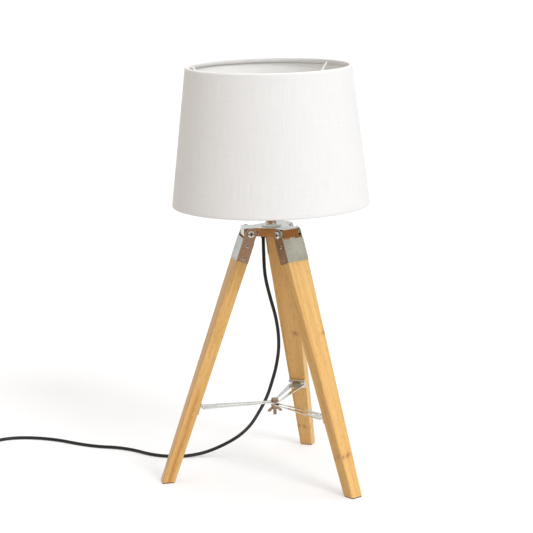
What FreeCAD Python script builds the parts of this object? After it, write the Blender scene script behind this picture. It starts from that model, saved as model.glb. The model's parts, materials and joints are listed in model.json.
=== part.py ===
import FreeCAD, Part
import math
import os
import re
import Sketcher

# Tripod table lamp: three leaning bamboo legs hinged to a pressed steel hub, a folding
# spreader of three slotted bars, a stem with a screw lampholder, a conical fabric shade
# and a mains cord with a switch and a plug.
# Millimetres, +Z up, the origin on the lamp's upright axis where it meets the table.
# The left leg points along -X, the other two stand 120 degrees to either side of it.

os.makedirs("parts", exist_ok=True)
doc = FreeCAD.newDocument("tripod_table_lamp")
sheet = doc.addObject("Spreadsheet::Sheet", "Sizes")

SIZES = {
    # legs, measured in a frame whose origin is the leg's pivot and whose Z runs up the leg
    "leg_lean": 19.43,
    "leg_fold": 18.6,
    "pivot_radius": 33.5,
    "pivot_height": 358.3,
    "leg_thick": 17.4,
    "leg_head_width": 38.0,
    "leg_foot_width": 18.3,
    "leg_edge_round": 0.8,
    "leg_top_drop": 10.0,
    "foot_pad_thick": 1.5,
    "foot_pad_inset": 0.9,
    # steel bracket over the head of each leg
    "bracket_width": 38.4,
    "bracket_sheet": 1.2,
    "bracket_length": 42.0,
    "web_drop": 9.0,
    "cheek_drop": 12.0,
    "ear_radius": 8.0,
    "seat_gap": 0.05,
    "wood_screw_upper": 17.5,
    "wood_screw_lower": 35.5,
    "wood_screw_radius": 1.3,
    "wood_screw_head": 2.2,
    "wood_screw_head_depth": 1.1,
    "wood_screw_length": 11.0,
    "screw_slot_width": 0.6,
    "screw_slot_depth": 0.45,
    # pivot of each leg in the hub
    "sleeve_radius": 3.0,
    "sleeve_bore": 2.05,
    "pivot_screw_radius": 2.0,
    "pivot_screw_reach": 24.0,
    "pivot_head_radius": 5.0,
    "pivot_head_height": 2.6,
    "pivot_slot_width": 1.1,
    "pivot_slot_depth": 0.9,
    "running_gap": 0.06,
    "side_gap": 0.1,
    # hub
    "pivot_below_plate": 7.7,
    "hub_sheet": 1.5,
    "hub_skirt": 12.0,
    "lobe_half_width": 14.6,
    "lobe_reach": 42.3,
    "lobe_chamfer": 2.2,
    "valley_reach": 24.5,
    "slit_width": 1.0,
    # stem and what holds it
    "collar_radius": 14.4,
    "collar_height": 2.3,
    "stem_radius": 7.8,
    "stem_wall": 1.2,
    "stem_length": 87.0,
    "nipple_radius": 5.0,
    "nipple_bore": 3.6,
    "nipple_below": 11.0,
    "nipple_in_cap": 10.0,
    "hub_nut_half_flats": 7.0,
    "hub_nut_height": 3.2,
    "hub_washer_radius": 9.0,
    "hub_washer_thick": 1.0,
    "thread_gap": 0.05,
    # cord grip under the hub
    "grip_radius": 16.5,
    "grip_height": 7.3,
    "grip_below_nut": 0.5,
    "outlet_x": -10.9,
    "outlet_y": 6.4,
    "outlet_length": 4.5,
    "outlet_top_radius": 4.3,
    "outlet_tip_radius": 3.4,
    # lampholder
    "holder_radius": 19.5,
    "holder_wall": 1.8,
    "holder_cap_height": 27.0,
    "holder_shell_height": 37.0,
    "holder_neck_radius": 17.8,
    "holder_seat": 14.0,
    "socket_bore": 13.3,
    "thread_sleeve_wall": 0.5,
    "thread_sleeve_height": 25.0,
    "core_height": 9.0,
    "core_well_radius": 6.0,
    "core_well_depth": 3.0,
    "contact_radius": 3.5,
    "contact_height": 2.4,
    # shade
    "shade_above_hub": 31.1,
    "shade_height": 196.4,
    "shade_bottom_radius": 140.0,
    "shade_top_radius": 117.0,
    "cover_thick": 0.8,
    "liner_thick": 0.5,
    "liner_gap": 0.1,
    "hem_depth": 7.0,
    "ring_wire": 1.7,
    "ring_gap": 0.3,
    "arm_radius": 1.5,
    "arm_notch": 5.0,
    "fitter_radius": 25.5,
    "fitter_thick": 2.0,
    "fitter_gap": 0.3,
    "clamp_radius": 22.2,
    "clamp_height": 7.0,
    "clamp_flange": 2.2,
    "clamp_rim": 21.0,
    # spreader bars, one hinge to each leg
    "hinge_drop": 258.3,
    "knuckle_radius": 2.5,
    "knuckle_half_width": 6.6,
    "knuckle_gap": 0.3,
    "leaf_half_width": 12.2,
    "leaf_sheet": 1.2,
    "leaf_length": 13.0,
    "leaf_screw_drop": 7.5,
    "leaf_screw_half_pitch": 7.5,
    "hinge_pin_radius": 1.25,
    "bar_sheet": 1.4,
    "bar_step": 1.7,
    "bar_outer_width": 24.5,
    "bar_inner_width": 9.4,
    "slot_width": 6.4,
    "slot_spare": 0.6,
    # bolt through the three bars
    "bolt_radius": 2.5,
    "bolt_head_half_flats": 4.5,
    "bolt_head_height": 3.5,
    "bolt_length": 20.5,
    "bolt_washer_radius": 6.0,
    "bolt_washer_thick": 1.0,
    "stack_gap": 0.15,
    "wing_hub_radius": 4.2,
    "wing_hub_height": 5.0,
    "wing_span": 22.0,
    "wing_drop": 9.0,
    "wing_thick": 1.8,
    # cord
    "cord_diameter": 5.0,
    "coil_outer_radius": 36.0,
    "coil_pitch": 5.6,
    "coil_layer": 5.6,
    "tie_sheet": 0.5,
    "tie_width": 9.0,
    "tie_gap": 0.3,
    # switch in the cord
    "switch_x": -404.0,
    "switch_y": 198.0,
    "switch_cord_height": 3.4,
    "switch_length": 60.0,
    "switch_width": 22.0,
    "switch_base_height": 7.0,
    "switch_cover_height": 7.6,
    "switch_wall": 1.8,
    "switch_top_wall": 2.6,
    "switch_corner": 5.0,
    "rocker_length": 13.0,
    "rocker_width": 8.4,
    "rocker_tilt": 7.0,
    "rocker_gap": 0.5,
    "rocker_pin_radius": 0.8,
    "rocker_pin_inset": 0.9,
    "switch_screw_radius": 1.5,
    "switch_screw_pitch": 44.0,
    # plug
    "link_length": 33.0,
    "link_shift": 1.5,
    "tail_length": 36.0,
    "plug_height": 7.2,
    "plug_sleeve_length": 20.0,
    "plug_sleeve_radius": 4.6,
    "plug_length": 34.0,
    "plug_face_width": 34.0,
    "plug_rear_width": 17.0,
    "pin_pitch": 19.0,
    "pin_radius": 2.0,
    "pin_length": 19.0,
    "pin_seat": 4.0,
}
# Heights that follow from the sizes above, each written as a formula of them.
HEIGHTS = {
    "grip_floor": "(grip_top - grip_height)",
    "grip_top": "(hub_height - hub_sheet - hub_washer_thick - hub_nut_height - grip_below_nut)",
    "shade_bottom": "(hub_height + shade_above_hub)",
    "hub_height": "(pivot_height + pivot_below_plate)",
}
for row, (alias, number) in enumerate(SIZES.items(), start=1):
    sheet.set(f"A{row}", alias)
    sheet.set(f"B{row}", str(number))
    sheet.setAlias(f"B{row}", alias)
doc.recompute()

ALIAS = re.compile(r"\b(" + "|".join(sorted(SIZES, key=len, reverse=True)) + r")\b")

# The lamp's three sides: the turn of each leg's frame about the axis, and the place of its
# bar in the stack at the middle, counted from the top.
SIDES = {"left": (180, 0), "back": (60, 1), "front": (-60, 2)}


def size(alias):
    return float(sheet.get(alias))


def linked(text):
    """The text as an expression: derived heights written out, aliases read from the sheet."""
    text = str(text)
    for name, formula in HEIGHTS.items():
        text = re.sub(rf"\b{name}\b", formula, text)
    return ALIAS.sub(r"Sizes.\1", text)


def number(text):
    return float(sheet.evalExpression(linked(text)))


def bind(thing, **expressions):
    for prop, text in expressions.items():
        thing.setExpression(prop, linked(text))


def at(x=0, y=0, z=0, axis=(0, 0, 1), turn=0):
    """Text of a placement: a shift and a turn in degrees about an axis."""
    return (
        f"placement(vector({x}; {y}; {z}); "
        f"rotation(vector({axis[0]}; {axis[1]}; {axis[2]}); {turn}))"
    )


def place(thing, *steps):
    bind(thing, Placement=" * ".join(steps))
    return thing


def sketch_on(body, plane, lift=0):
    sketch = body.newObject("Sketcher::SketchObject", f"{body.Name}_sketch")
    origin_plane = next(f for f in body.Origin.OriginFeatures if f.Role == plane)
    sketch.AttachmentSupport = [(origin_plane, "")]
    sketch.MapMode = "FlatFace"
    sketch.setExpression("AttachmentOffset.Base.z", linked(lift))
    return sketch


def pin_point(sketch, geometry, corner, x, y):
    for kind, text in (("DistanceX", x), ("DistanceY", y)):
        index = sketch.addConstraint(Sketcher.Constraint(kind, -1, 1, geometry, corner, 1.0))
        sketch.setExpression(f"Constraints[{index}]", linked(text))


def polygon(sketch, points):
    """A closed outline of straight sides whose corners are bound to the sheet."""
    first = sketch.GeometryCount
    count = len(points)
    ring = [FreeCAD.Vector(math.cos(a), math.sin(a), 0) for a in
            (2 * math.pi * k / count for k in range(count))]
    for k in range(count):
        sketch.addGeometry(Part.LineSegment(ring[k], ring[(k + 1) % count]))
    for k in range(count):
        ahead = first + (k + 1) % count
        sketch.addConstraint(Sketcher.Constraint("Coincident", first + k, 2, ahead, 1))
    for k, (x, y) in enumerate(points):
        pin_point(sketch, first + k, 1, x, y)


def circle(sketch, radius, x=0, y=0):
    index = sketch.addGeometry(Part.Circle(FreeCAD.Vector(0, 0, 0), FreeCAD.Vector(0, 0, 1), 1.0))
    pin_point(sketch, index, 3, x, y)
    constraint = sketch.addConstraint(Sketcher.Constraint("Radius", index, 1.0))
    sketch.setExpression(f"Constraints[{constraint}]", linked(radius))


def new_body(name):
    return doc.addObject("PartDesign::Body", name)


def extrude(kind, body, plane, length, shapes, lift=0, both_ways=False):
    """A Pad or Pocket of outlines and circles drawn on one of the body's own planes."""
    sketch = sketch_on(body, plane, lift)
    for shape in shapes:
        if isinstance(shape, dict):
            circle(sketch, **shape)
        else:
            polygon(sketch, shape)
    feature = body.newObject(f"PartDesign::{kind}", f"{body.Name}_{kind.lower()}")
    feature.Profile = sketch
    bind(feature, Length=length)
    feature.Midplane = both_ways
    return feature


def pad(body, plane, length, shapes, **how):
    return extrude("Pad", body, plane, length, shapes, **how)


def pocket(body, plane, length, shapes, upward=False, **how):
    feature = extrude("Pocket", body, plane, length, shapes, **how)
    feature.Reversed = upward
    return feature


def rectangle(x_low, x_high, y_low, y_high):
    return [(x_low, y_low), (x_high, y_low), (x_high, y_high), (x_low, y_high)]


def turned(name, points):
    """A body of revolution about its Z axis; points are (radius, height)."""
    body = new_body(name)
    sketch = sketch_on(body, "XZ_Plane")
    polygon(sketch, points)
    feature = body.newObject("PartDesign::Revolution", f"{name}_revolution")
    feature.Profile = sketch
    feature.ReferenceAxis = (sketch, ["V_Axis"])
    feature.Angle = 360.0
    return body


def tube(name, outer, inner, low, high):
    return turned(name, [(inner, low), (outer, low), (outer, high), (inner, high)])


def hexagon(half_flats):
    """Corners of a hexagon given by half its width across the flats."""
    corner = f"({half_flats}) / cos(30)"
    return [(f"{corner} * cos({60 * k})", f"{corner} * sin({60 * k})") for k in range(6)]


def group(name, members):
    compound = doc.addObject("Part::Compound", name)
    compound.Links = members
    return compound


nodes = {}


def keep(name, thing):
    thing.Label = name
    nodes[name] = thing
    return thing


def along(point, turn):
    """Turns the (x, y) texts of a point about the lamp's axis."""
    x, y = point
    return (f"({x}) * cos({turn}) - ({y}) * sin({turn})",
            f"({x}) * sin({turn}) + ({y}) * cos({turn})")


# ---- hub: a pressed cap with three lobes, open below

def hub_outline(inset):
    """Three lobes joined by valley flats; inset moves every side inwards."""
    half = f"(lobe_half_width - {inset})"
    tip = f"(lobe_reach - {inset})"
    root = f"((valley_reach - {inset} - {half} * sin(60)) / cos(60))"
    lobe = [
        (root, f"-{half}"),
        (f"{tip} - lobe_chamfer", f"-{half}"),
        (tip, f"-{half} + lobe_chamfer"),
        (tip, f"{half} - lobe_chamfer"),
        (f"{tip} - lobe_chamfer", half),
        (root, half),
    ]
    return [along(point, turn) for turn in (-60, 60, 180) for point in lobe]


hub = new_body("hub_cap")
pad(hub, "XY_Plane", "hub_skirt", [hub_outline("0")], lift="hub_height - hub_skirt")
pocket(hub, "XY_Plane", "hub_skirt - hub_sheet", [hub_outline("hub_sheet")],
       lift="hub_height - hub_skirt", upward=True)
pocket(hub, "XY_Plane", "hub_sheet * 3",
       [{"radius": "nipple_radius + thread_gap"}], lift="hub_height + hub_sheet")
valley_root = "((valley_reach - lobe_half_width * sin(60)) / cos(60))"
slit_middles = [(valley_root, "-lobe_half_width"), (valley_root, "lobe_half_width")]
slit_middles += [("lobe_reach - lobe_chamfer / 2", "-lobe_half_width + lobe_chamfer / 2"),
                 ("lobe_reach - lobe_chamfer / 2", "lobe_half_width - lobe_chamfer / 2")]
slits = [{"radius": "slit_width", "x": along(middle, turn)[0], "y": along(middle, turn)[1]}
         for middle in slit_middles for turn in (-60, 60, 180)]
pocket(hub, "XY_Plane", "hub_skirt - hub_sheet * 1.5", slits,
       lift="hub_height - hub_skirt", upward=True)
hub_holes = []
for side, (turn, _) in SIDES.items():
    hole = doc.addObject("Part::Cylinder", f"pivot_hole_{side}")
    bind(hole, Radius="sleeve_radius + running_gap", Height="lobe_half_width * 2 + 4")
    place(hole, at(turn=turn), at("pivot_radius", "-lobe_half_width - 2", "pivot_height"),
          at(axis=(1, 0, 0), turn=-90))
    hub_holes.append(hole)
hub_tool = doc.addObject("Part::MultiFuse", "pivot_holes")
hub_tool.Shapes = hub_holes
hub_plate = doc.addObject("Part::Cut", "hub_plate_cut")
hub_plate.Base = hub
hub_plate.Tool = hub_tool
keep("hub_plate", hub_plate)

keep("stem_collar", turned("collar", [
    ("stem_radius + thread_gap", "hub_height"),
    ("collar_radius", "hub_height"),
    ("collar_radius", "hub_height + collar_height - 0.6"),
    ("collar_radius - 0.6", "hub_height + collar_height"),
    ("stem_radius + thread_gap", "hub_height + collar_height"),
]))
keep("stem_tube", tube("stem", "stem_radius", "stem_radius - stem_wall",
                       "hub_height", "hub_height + stem_length"))
keep("threaded_nipple", tube("nipple", "nipple_radius", "nipple_bore", "hub_height - nipple_below",
                             "hub_height + stem_length + nipple_in_cap"))
WASHER_TOP = "(hub_height - hub_sheet)"
keep("hub_washer", tube("under_washer", "hub_washer_radius", "nipple_radius + thread_gap",
                        f"{WASHER_TOP} - hub_washer_thick", WASHER_TOP))
nut = new_body("under_nut")
pad(nut, "XY_Plane", "hub_nut_height",
    [hexagon("hub_nut_half_flats"), {"radius": "nipple_radius + thread_gap"}],
    lift=f"{WASHER_TOP} - hub_washer_thick - hub_nut_height")
keep("hub_nut", nut)

# The cord grip screws onto the nipple's lower end and lets the cord out off centre.
grip = new_body("grip")
pad(grip, "XY_Plane", "grip_top - grip_floor", [{"radius": "grip_radius"}], lift="grip_floor")
pocket(grip, "XY_Plane", "grip_top - (hub_height - nipple_below)",
       [{"radius": "nipple_radius + thread_gap"}], lift="grip_top")
outlet = doc.addObject("Part::Cone", "outlet_sleeve")
bind(outlet, Radius1="outlet_tip_radius", Radius2="outlet_top_radius", Height="outlet_length")
place(outlet, at("outlet_x", "outlet_y", "grip_floor - outlet_length"))
grip_whole = doc.addObject("Part::Fuse", "grip_with_outlet")
grip_whole.Base = grip
grip_whole.Tool = outlet
keep("cord_grip", grip_whole)

# ---- lampholder on top of the stem

CAP_LOW = "(hub_height + stem_length)"
SHELL_LOW = f"({CAP_LOW} + holder_cap_height)"
SHELL_TOP = f"({SHELL_LOW} + holder_shell_height)"
SEAT = f"({SHELL_LOW} + holder_seat)"
keep("holder_cap", turned("lampholder_cap", [
    ("nipple_radius + thread_gap", CAP_LOW),
    ("stem_radius + 3", CAP_LOW),
    ("holder_radius", f"{CAP_LOW} + 12"),
    ("holder_radius", SHELL_LOW),
    ("holder_radius - holder_wall", SHELL_LOW),
    ("holder_radius - holder_wall", f"{CAP_LOW} + 13"),
    ("stem_radius + 3", f"{CAP_LOW} + 3"),
    ("nipple_radius + thread_gap", f"{CAP_LOW} + 3"),
]))
keep("holder_shell", turned("lampholder_shell", [
    ("holder_radius - holder_wall * 2.2", SHELL_LOW),
    ("holder_radius", SHELL_LOW),
    ("holder_radius", SEAT),
    ("holder_neck_radius", SEAT),
    ("holder_neck_radius", SHELL_TOP),
    ("socket_bore", SHELL_TOP),
    ("socket_bore", f"{SHELL_TOP} - 1.2"),
    ("holder_radius - holder_wall * 2.2", f"{SHELL_TOP} - 1.2"),
]))
CORE_TOP = f"({SHELL_LOW} + core_height)"
keep("socket_core", turned("core", [
    (0, f"{SHELL_LOW} - 4"),
    ("holder_radius - holder_wall * 2.2 - seat_gap", f"{SHELL_LOW} - 4"),
    ("holder_radius - holder_wall * 2.2 - seat_gap", CORE_TOP),
    ("core_well_radius", CORE_TOP),
    ("core_well_radius", f"{CORE_TOP} - core_well_depth"),
    (0, f"{CORE_TOP} - core_well_depth"),
]))
keep("thread_sleeve", tube("screw_sleeve", "socket_bore + thread_sleeve_wall", "socket_bore",
                           CORE_TOP, f"{CORE_TOP} + thread_sleeve_height"))
CONTACT_LOW = f"({CORE_TOP} - core_well_depth)"
keep("centre_contact", tube("contact", "contact_radius", "contact_radius / 3",
                            CONTACT_LOW, f"{CONTACT_LOW} + contact_height"))

# ---- shade: fabric cover with turned-in hems, liner, lower ring, spider and clamp ring

SHADE_TOP = "(shade_bottom + shade_height)"
TAPER = "((shade_bottom_radius - shade_top_radius) / shade_height)"
POCKET = "(ring_wire * 2 + ring_gap * 2)"


def wall(inset, above_bottom):
    """Point on the shade's slanted wall: inset from its outside, height above its foot."""
    return (f"shade_bottom_radius - {TAPER} * ({above_bottom}) - ({inset})",
            f"shade_bottom + ({above_bottom})")


LIP_OUT = f"(cover_thick + {POCKET})"
LIP_IN = f"(cover_thick * 2 + {POCKET})"
cover = turned("cover", [
    wall(0, 0),
    wall(0, "shade_height"),
    wall(LIP_IN, "shade_height"),
    wall(LIP_IN, "shade_height - hem_depth"),
    wall(LIP_OUT, "shade_height - hem_depth"),
    wall(LIP_OUT, "shade_height - cover_thick"),
    wall("cover_thick", "shade_height - cover_thick"),
    wall("cover_thick", "cover_thick"),
    wall(LIP_OUT, "cover_thick"),
    wall(LIP_OUT, "hem_depth"),
    wall(LIP_IN, "hem_depth"),
    wall(LIP_IN, 0),
])
notches = []
for turn in (30, 150, 270):
    notch = doc.addObject("Part::Box", f"arm_notch_{turn}")
    bind(notch, Length=f"{POCKET} + cover_thick + ring_wire", Width="arm_notch",
         Height="hem_depth * 2")
    place(notch, at(turn=turn),
          at(f"shade_top_radius - {LIP_IN} - ring_wire", "-arm_notch / 2",
             f"{SHADE_TOP} - cover_thick - hem_depth * 2"))
    notches.append(notch)
notch_tool = doc.addObject("Part::MultiFuse", "arm_notches")
notch_tool.Shapes = notches
cover_cut = doc.addObject("Part::Cut", "cover_with_notches")
cover_cut.Base = cover
cover_cut.Tool = notch_tool
keep("shade_cover", cover_cut)
keep("shade_liner", turned("liner", [
    wall("cover_thick + liner_gap", "hem_depth + 1"),
    wall("cover_thick + liner_gap", "shade_height - hem_depth - 1"),
    wall("cover_thick + liner_gap + liner_thick", "shade_height - hem_depth - 1"),
    wall("cover_thick + liner_gap + liner_thick", "hem_depth + 1"),
]))
RING_INSET = "(cover_thick + ring_gap + ring_wire)"
lower_ring = doc.addObject("Part::Torus", "lower_ring")
bind(lower_ring, Radius1=f"shade_bottom_radius - {TAPER} * {RING_INSET} - {RING_INSET}",
     Radius2="ring_wire")
place(lower_ring, at(z=f"shade_bottom + {RING_INSET}"))
keep("shade_bottom_ring", lower_ring)

UPPER_RING_RADIUS = f"(shade_top_radius + {TAPER} * {RING_INSET} - {RING_INSET})"
UPPER_RING_HEIGHT = f"({SHADE_TOP} - {RING_INSET})"
FITTER_MIDDLE = f"({SEAT} + thread_gap + fitter_thick / 2)"
upper_ring = doc.addObject("Part::Torus", "upper_ring")
bind(upper_ring, Radius1=UPPER_RING_RADIUS, Radius2="ring_wire")
place(upper_ring, at(z=UPPER_RING_HEIGHT))
fitter = tube("fitter_ring", "fitter_radius", "holder_neck_radius + fitter_gap",
              f"{SEAT} + thread_gap", f"{SEAT} + thread_gap + fitter_thick")
ARM_RUN = f"({UPPER_RING_RADIUS} - fitter_radius + arm_radius)"
ARM_RISE = f"({UPPER_RING_HEIGHT} - {FITTER_MIDDLE})"
spider_pieces = [upper_ring, fitter]
for turn in (30, 150, 270):
    arm = doc.addObject("Part::Cylinder", f"arm_{turn}")
    bind(arm, Radius="arm_radius", Height=f"sqrt({ARM_RUN} ^ 2 + {ARM_RISE} ^ 2)")
    place(arm, at(turn=turn), at("fitter_radius - arm_radius", 0, FITTER_MIDDLE),
          at(axis=(0, 1, 0), turn=f"atan({ARM_RUN} / {ARM_RISE})"))
    spider_pieces.append(arm)
spider = doc.addObject("Part::MultiFuse", "spider")
spider.Shapes = spider_pieces
keep("shade_spider", spider)
CLAMP_LOW = f"({SEAT} + thread_gap * 2 + fitter_thick)"
keep("shade_clamp_ring", turned("clamp", [
    ("holder_neck_radius + thread_gap", CLAMP_LOW),
    ("clamp_radius", CLAMP_LOW),
    ("clamp_radius", f"{CLAMP_LOW} + clamp_flange"),
    ("clamp_rim", f"{CLAMP_LOW} + clamp_flange + 0.6"),
    ("clamp_rim", f"{CLAMP_LOW} + clamp_height"),
    ("holder_neck_radius + thread_gap", f"{CLAMP_LOW} + clamp_height"),
]))

# ---- legs, brackets, pivots and hinge leaves, each in its leg's frame

EAR_IN = "(bracket_width / 2 - bracket_sheet)"
HALF_THICK = "(leg_thick / 2)"
# Height in the leg's frame of the level cut at the top of the foot pad, at a given x.
FOOT_CUT = "((foot_pad_thick - pivot_height - ({x}) * sin(leg_lean)) / cos(leg_lean))"
LEG_END = "(-pivot_height / cos(leg_lean) - leg_thick)"
# Half width of the leg at a height of its frame, straight from the bracket to the floor.
TAPER_RUN = "(pivot_height / cos(leg_lean) - bracket_length)"
END_HALF_WIDTH = (f"(leg_head_width / 2 - (leg_head_width - leg_foot_width) / 2 "
                  f"* ({TAPER_RUN} + leg_thick) / {TAPER_RUN})")
HINGE_X = f"(-{HALF_THICK} - knuckle_radius - knuckle_gap)"
HINGE_RADIUS = f"(pivot_radius + {HINGE_X} * cos(leg_lean) + hinge_drop * sin(leg_lean))"
HINGE_HEIGHT = f"(pivot_height + {HINGE_X} * sin(leg_lean) - hinge_drop * cos(leg_lean))"
FOLDED_RADIUS = (f"(pivot_radius + {HINGE_X} * cos(leg_lean - leg_fold) "
                 "+ hinge_drop * sin(leg_lean - leg_fold))")
SCREW_DROPS = ("wood_screw_upper", "wood_screw_lower")


def wood_screw(name):
    """Countersunk screw along -Z, its head's face at the origin."""
    body = turned(name, [
        (0, "-wood_screw_length"),
        ("wood_screw_radius * 0.4", "-wood_screw_length"),
        ("wood_screw_radius", "-wood_screw_length + 2.5"),
        ("wood_screw_radius", "-wood_screw_head_depth"),
        ("wood_screw_head", 0),
        (0, 0),
    ])
    pocket(body, "XY_Plane", "screw_slot_depth",
           [rectangle("-wood_screw_head - 1", "wood_screw_head + 1",
                      "-screw_slot_width / 2", "screw_slot_width / 2")])
    return body


def screw_hole(name):
    """The hole that a wood screw goes into, a little wider than the screw."""
    return turned(name, [
        (0, "-wood_screw_length - thread_gap"),
        ("wood_screw_radius + thread_gap", "-wood_screw_length - thread_gap"),
        ("wood_screw_radius + thread_gap", "-wood_screw_head_depth"),
        ("wood_screw_head + thread_gap", 0),
        ("wood_screw_head + thread_gap", "0.5"),
        (0, "0.5"),
    ])


def screw_places():
    """Placements of a leg's screws in its frame: four in the bracket, two in the hinge leaf."""
    places = []
    for drop in SCREW_DROPS:
        places.append(at(0, "bracket_width / 2", f"-{drop}", (1, 0, 0), -90))
        places.append(at(0, "-bracket_width / 2", f"-{drop}", (1, 0, 0), 90))
    for sign in ("-", ""):
        places.append(at(f"-{HALF_THICK} - leaf_sheet", f"{sign}leaf_screw_half_pitch",
                         "-hinge_drop - leaf_screw_drop", (0, 1, 0), -90))
    return places


def bored(base, side, frame):
    """The piece with the leg's screw holes cut through it."""
    tool = doc.addObject("Part::MultiFuse", f"{base.Name}_holes")
    tool.Shapes = [place(screw_hole(f"{base.Name}_hole"), frame, where) for where in screw_places()]
    cut = doc.addObject("Part::Cut", f"{base.Name}_bored")
    cut.Base = base
    cut.Tool = tool
    return cut


def make_leg(side, frame):
    body = place(new_body(f"wood_{side}"), frame)
    pad(body, "YZ_Plane", "leg_thick", [[
        (f"-{END_HALF_WIDTH}", LEG_END),
        (END_HALF_WIDTH, LEG_END),
        ("leg_head_width / 2", "-bracket_length"),
        ("-leg_head_width / 2", "-bracket_length"),
    ]], both_ways=True)
    doc.recompute()
    shaft = body.Tip
    edges = [f"Edge{i}" for i, edge in enumerate(shaft.Shape.Edges, start=1)
             if edge.Length > size("hinge_drop")]
    rounding = body.newObject("PartDesign::Fillet", f"wood_{side}_rounding")
    rounding.Base = (shaft, edges)
    bind(rounding, Radius="leg_edge_round")
    pad(body, "XY_Plane", "bracket_length - leg_top_drop", [rectangle(
        f"-{HALF_THICK}", f"{HALF_THICK} - bracket_sheet - seat_gap",
        f"-{EAR_IN} + seat_gap", f"{EAR_IN} - seat_gap",
    )], lift="-bracket_length")
    below = f"{LEG_END} - leg_thick"
    pocket(body, "XZ_Plane", "leg_head_width * 2", [[
        ("-leg_thick", FOOT_CUT.format(x="-leg_thick")),
        ("leg_thick", FOOT_CUT.format(x="leg_thick")),
        ("leg_thick", below),
        ("-leg_thick", below),
    ]], both_ways=True)
    return keep(f"leg_{side}", bored(body, side, frame))


def make_bracket(side, frame):
    body = place(new_body(f"channel_{side}"), frame)
    pad(body, "XY_Plane", "bracket_length - web_drop", [rectangle(
        f"{HALF_THICK} - bracket_sheet", HALF_THICK, "-bracket_width / 2", "bracket_width / 2",
    )], lift="-bracket_length")
    cheek = rectangle(f"-{HALF_THICK}", HALF_THICK, "-bracket_length", "-cheek_drop")
    pad(body, "XZ_Plane", "bracket_width", [cheek], both_ways=True)
    pad(body, "XZ_Plane", "bracket_width",
        [rectangle("-ear_radius", "ear_radius", "-cheek_drop", 0)], both_ways=True)
    pad(body, "XZ_Plane", "bracket_width", [{"radius": "ear_radius"}], both_ways=True)
    inside = rectangle(f"-{HALF_THICK} - 1", f"{HALF_THICK} - bracket_sheet",
                       "-bracket_length - 1", "-web_drop")
    pocket(body, "XZ_Plane", f"{EAR_IN} * 2", [inside], both_ways=True)
    above = rectangle("-leg_thick", "leg_thick", "-web_drop", "ear_radius + 1")
    pocket(body, "XZ_Plane", f"{EAR_IN} * 2", [above], both_ways=True)
    pocket(body, "XZ_Plane", "bracket_width + 2",
           [{"radius": "sleeve_radius + running_gap"}], both_ways=True)
    return keep(f"leg_bracket_{side}", bored(body, side, frame))


def make_foot_pad(side, turn):
    long_half = "(leg_thick / cos(leg_lean) / 2 - foot_pad_inset)"
    wide_half = "(leg_foot_width / 2 - foot_pad_inset)"
    foot = doc.addObject("Part::Box", f"rubber_{side}")
    bind(foot, Length=f"{long_half} * 2", Width=f"{wide_half} * 2", Height="foot_pad_thick")
    place(foot, at(turn=turn),
          at(f"pivot_radius + pivot_height * tan(leg_lean) - {long_half}", f"-{wide_half}"))
    return keep(f"foot_pad_{side}", foot)


def make_hinge_leaf(side, frame):
    body = place(new_body(f"leaf_{side}"), frame)
    hinge_frame = "-hinge_drop"
    pad(body, "XZ_Plane", "leaf_half_width * 2",
        [{"radius": "knuckle_radius", "x": HINGE_X, "y": hinge_frame}], both_ways=True)
    pad(body, "XZ_Plane", "leaf_half_width * 2", [rectangle(
        f"-{HALF_THICK} - leaf_sheet", f"-{HALF_THICK}",
        "-hinge_drop - leaf_length", "-hinge_drop",
    )], both_ways=True)
    pocket(body, "XZ_Plane", "knuckle_half_width * 2 + side_gap * 4", [rectangle(
        f"{HINGE_X} - knuckle_radius - 1", f"-{HALF_THICK} + 1",
        "-hinge_drop - knuckle_radius - 1.2", "-hinge_drop + knuckle_radius + 1",
    )], both_ways=True)
    pocket(body, "XZ_Plane", "leaf_half_width * 3",
           [{"radius": "hinge_pin_radius + thread_gap", "x": HINGE_X, "y": hinge_frame}],
           both_ways=True)
    return keep(f"hinge_leaf_{side}", bored(body, side, frame))


def make_hinge_pin(side, frame):
    pin = doc.addObject("Part::Cylinder", f"hinge_rod_{side}")
    bind(pin, Radius="hinge_pin_radius", Height="leaf_half_width * 2 + 0.6")
    place(pin, frame, at(HINGE_X, "-leaf_half_width - 0.3", "-hinge_drop"),
          at(axis=(1, 0, 0), turn=-90))
    return keep(f"hinge_pin_{side}", pin)


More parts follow.
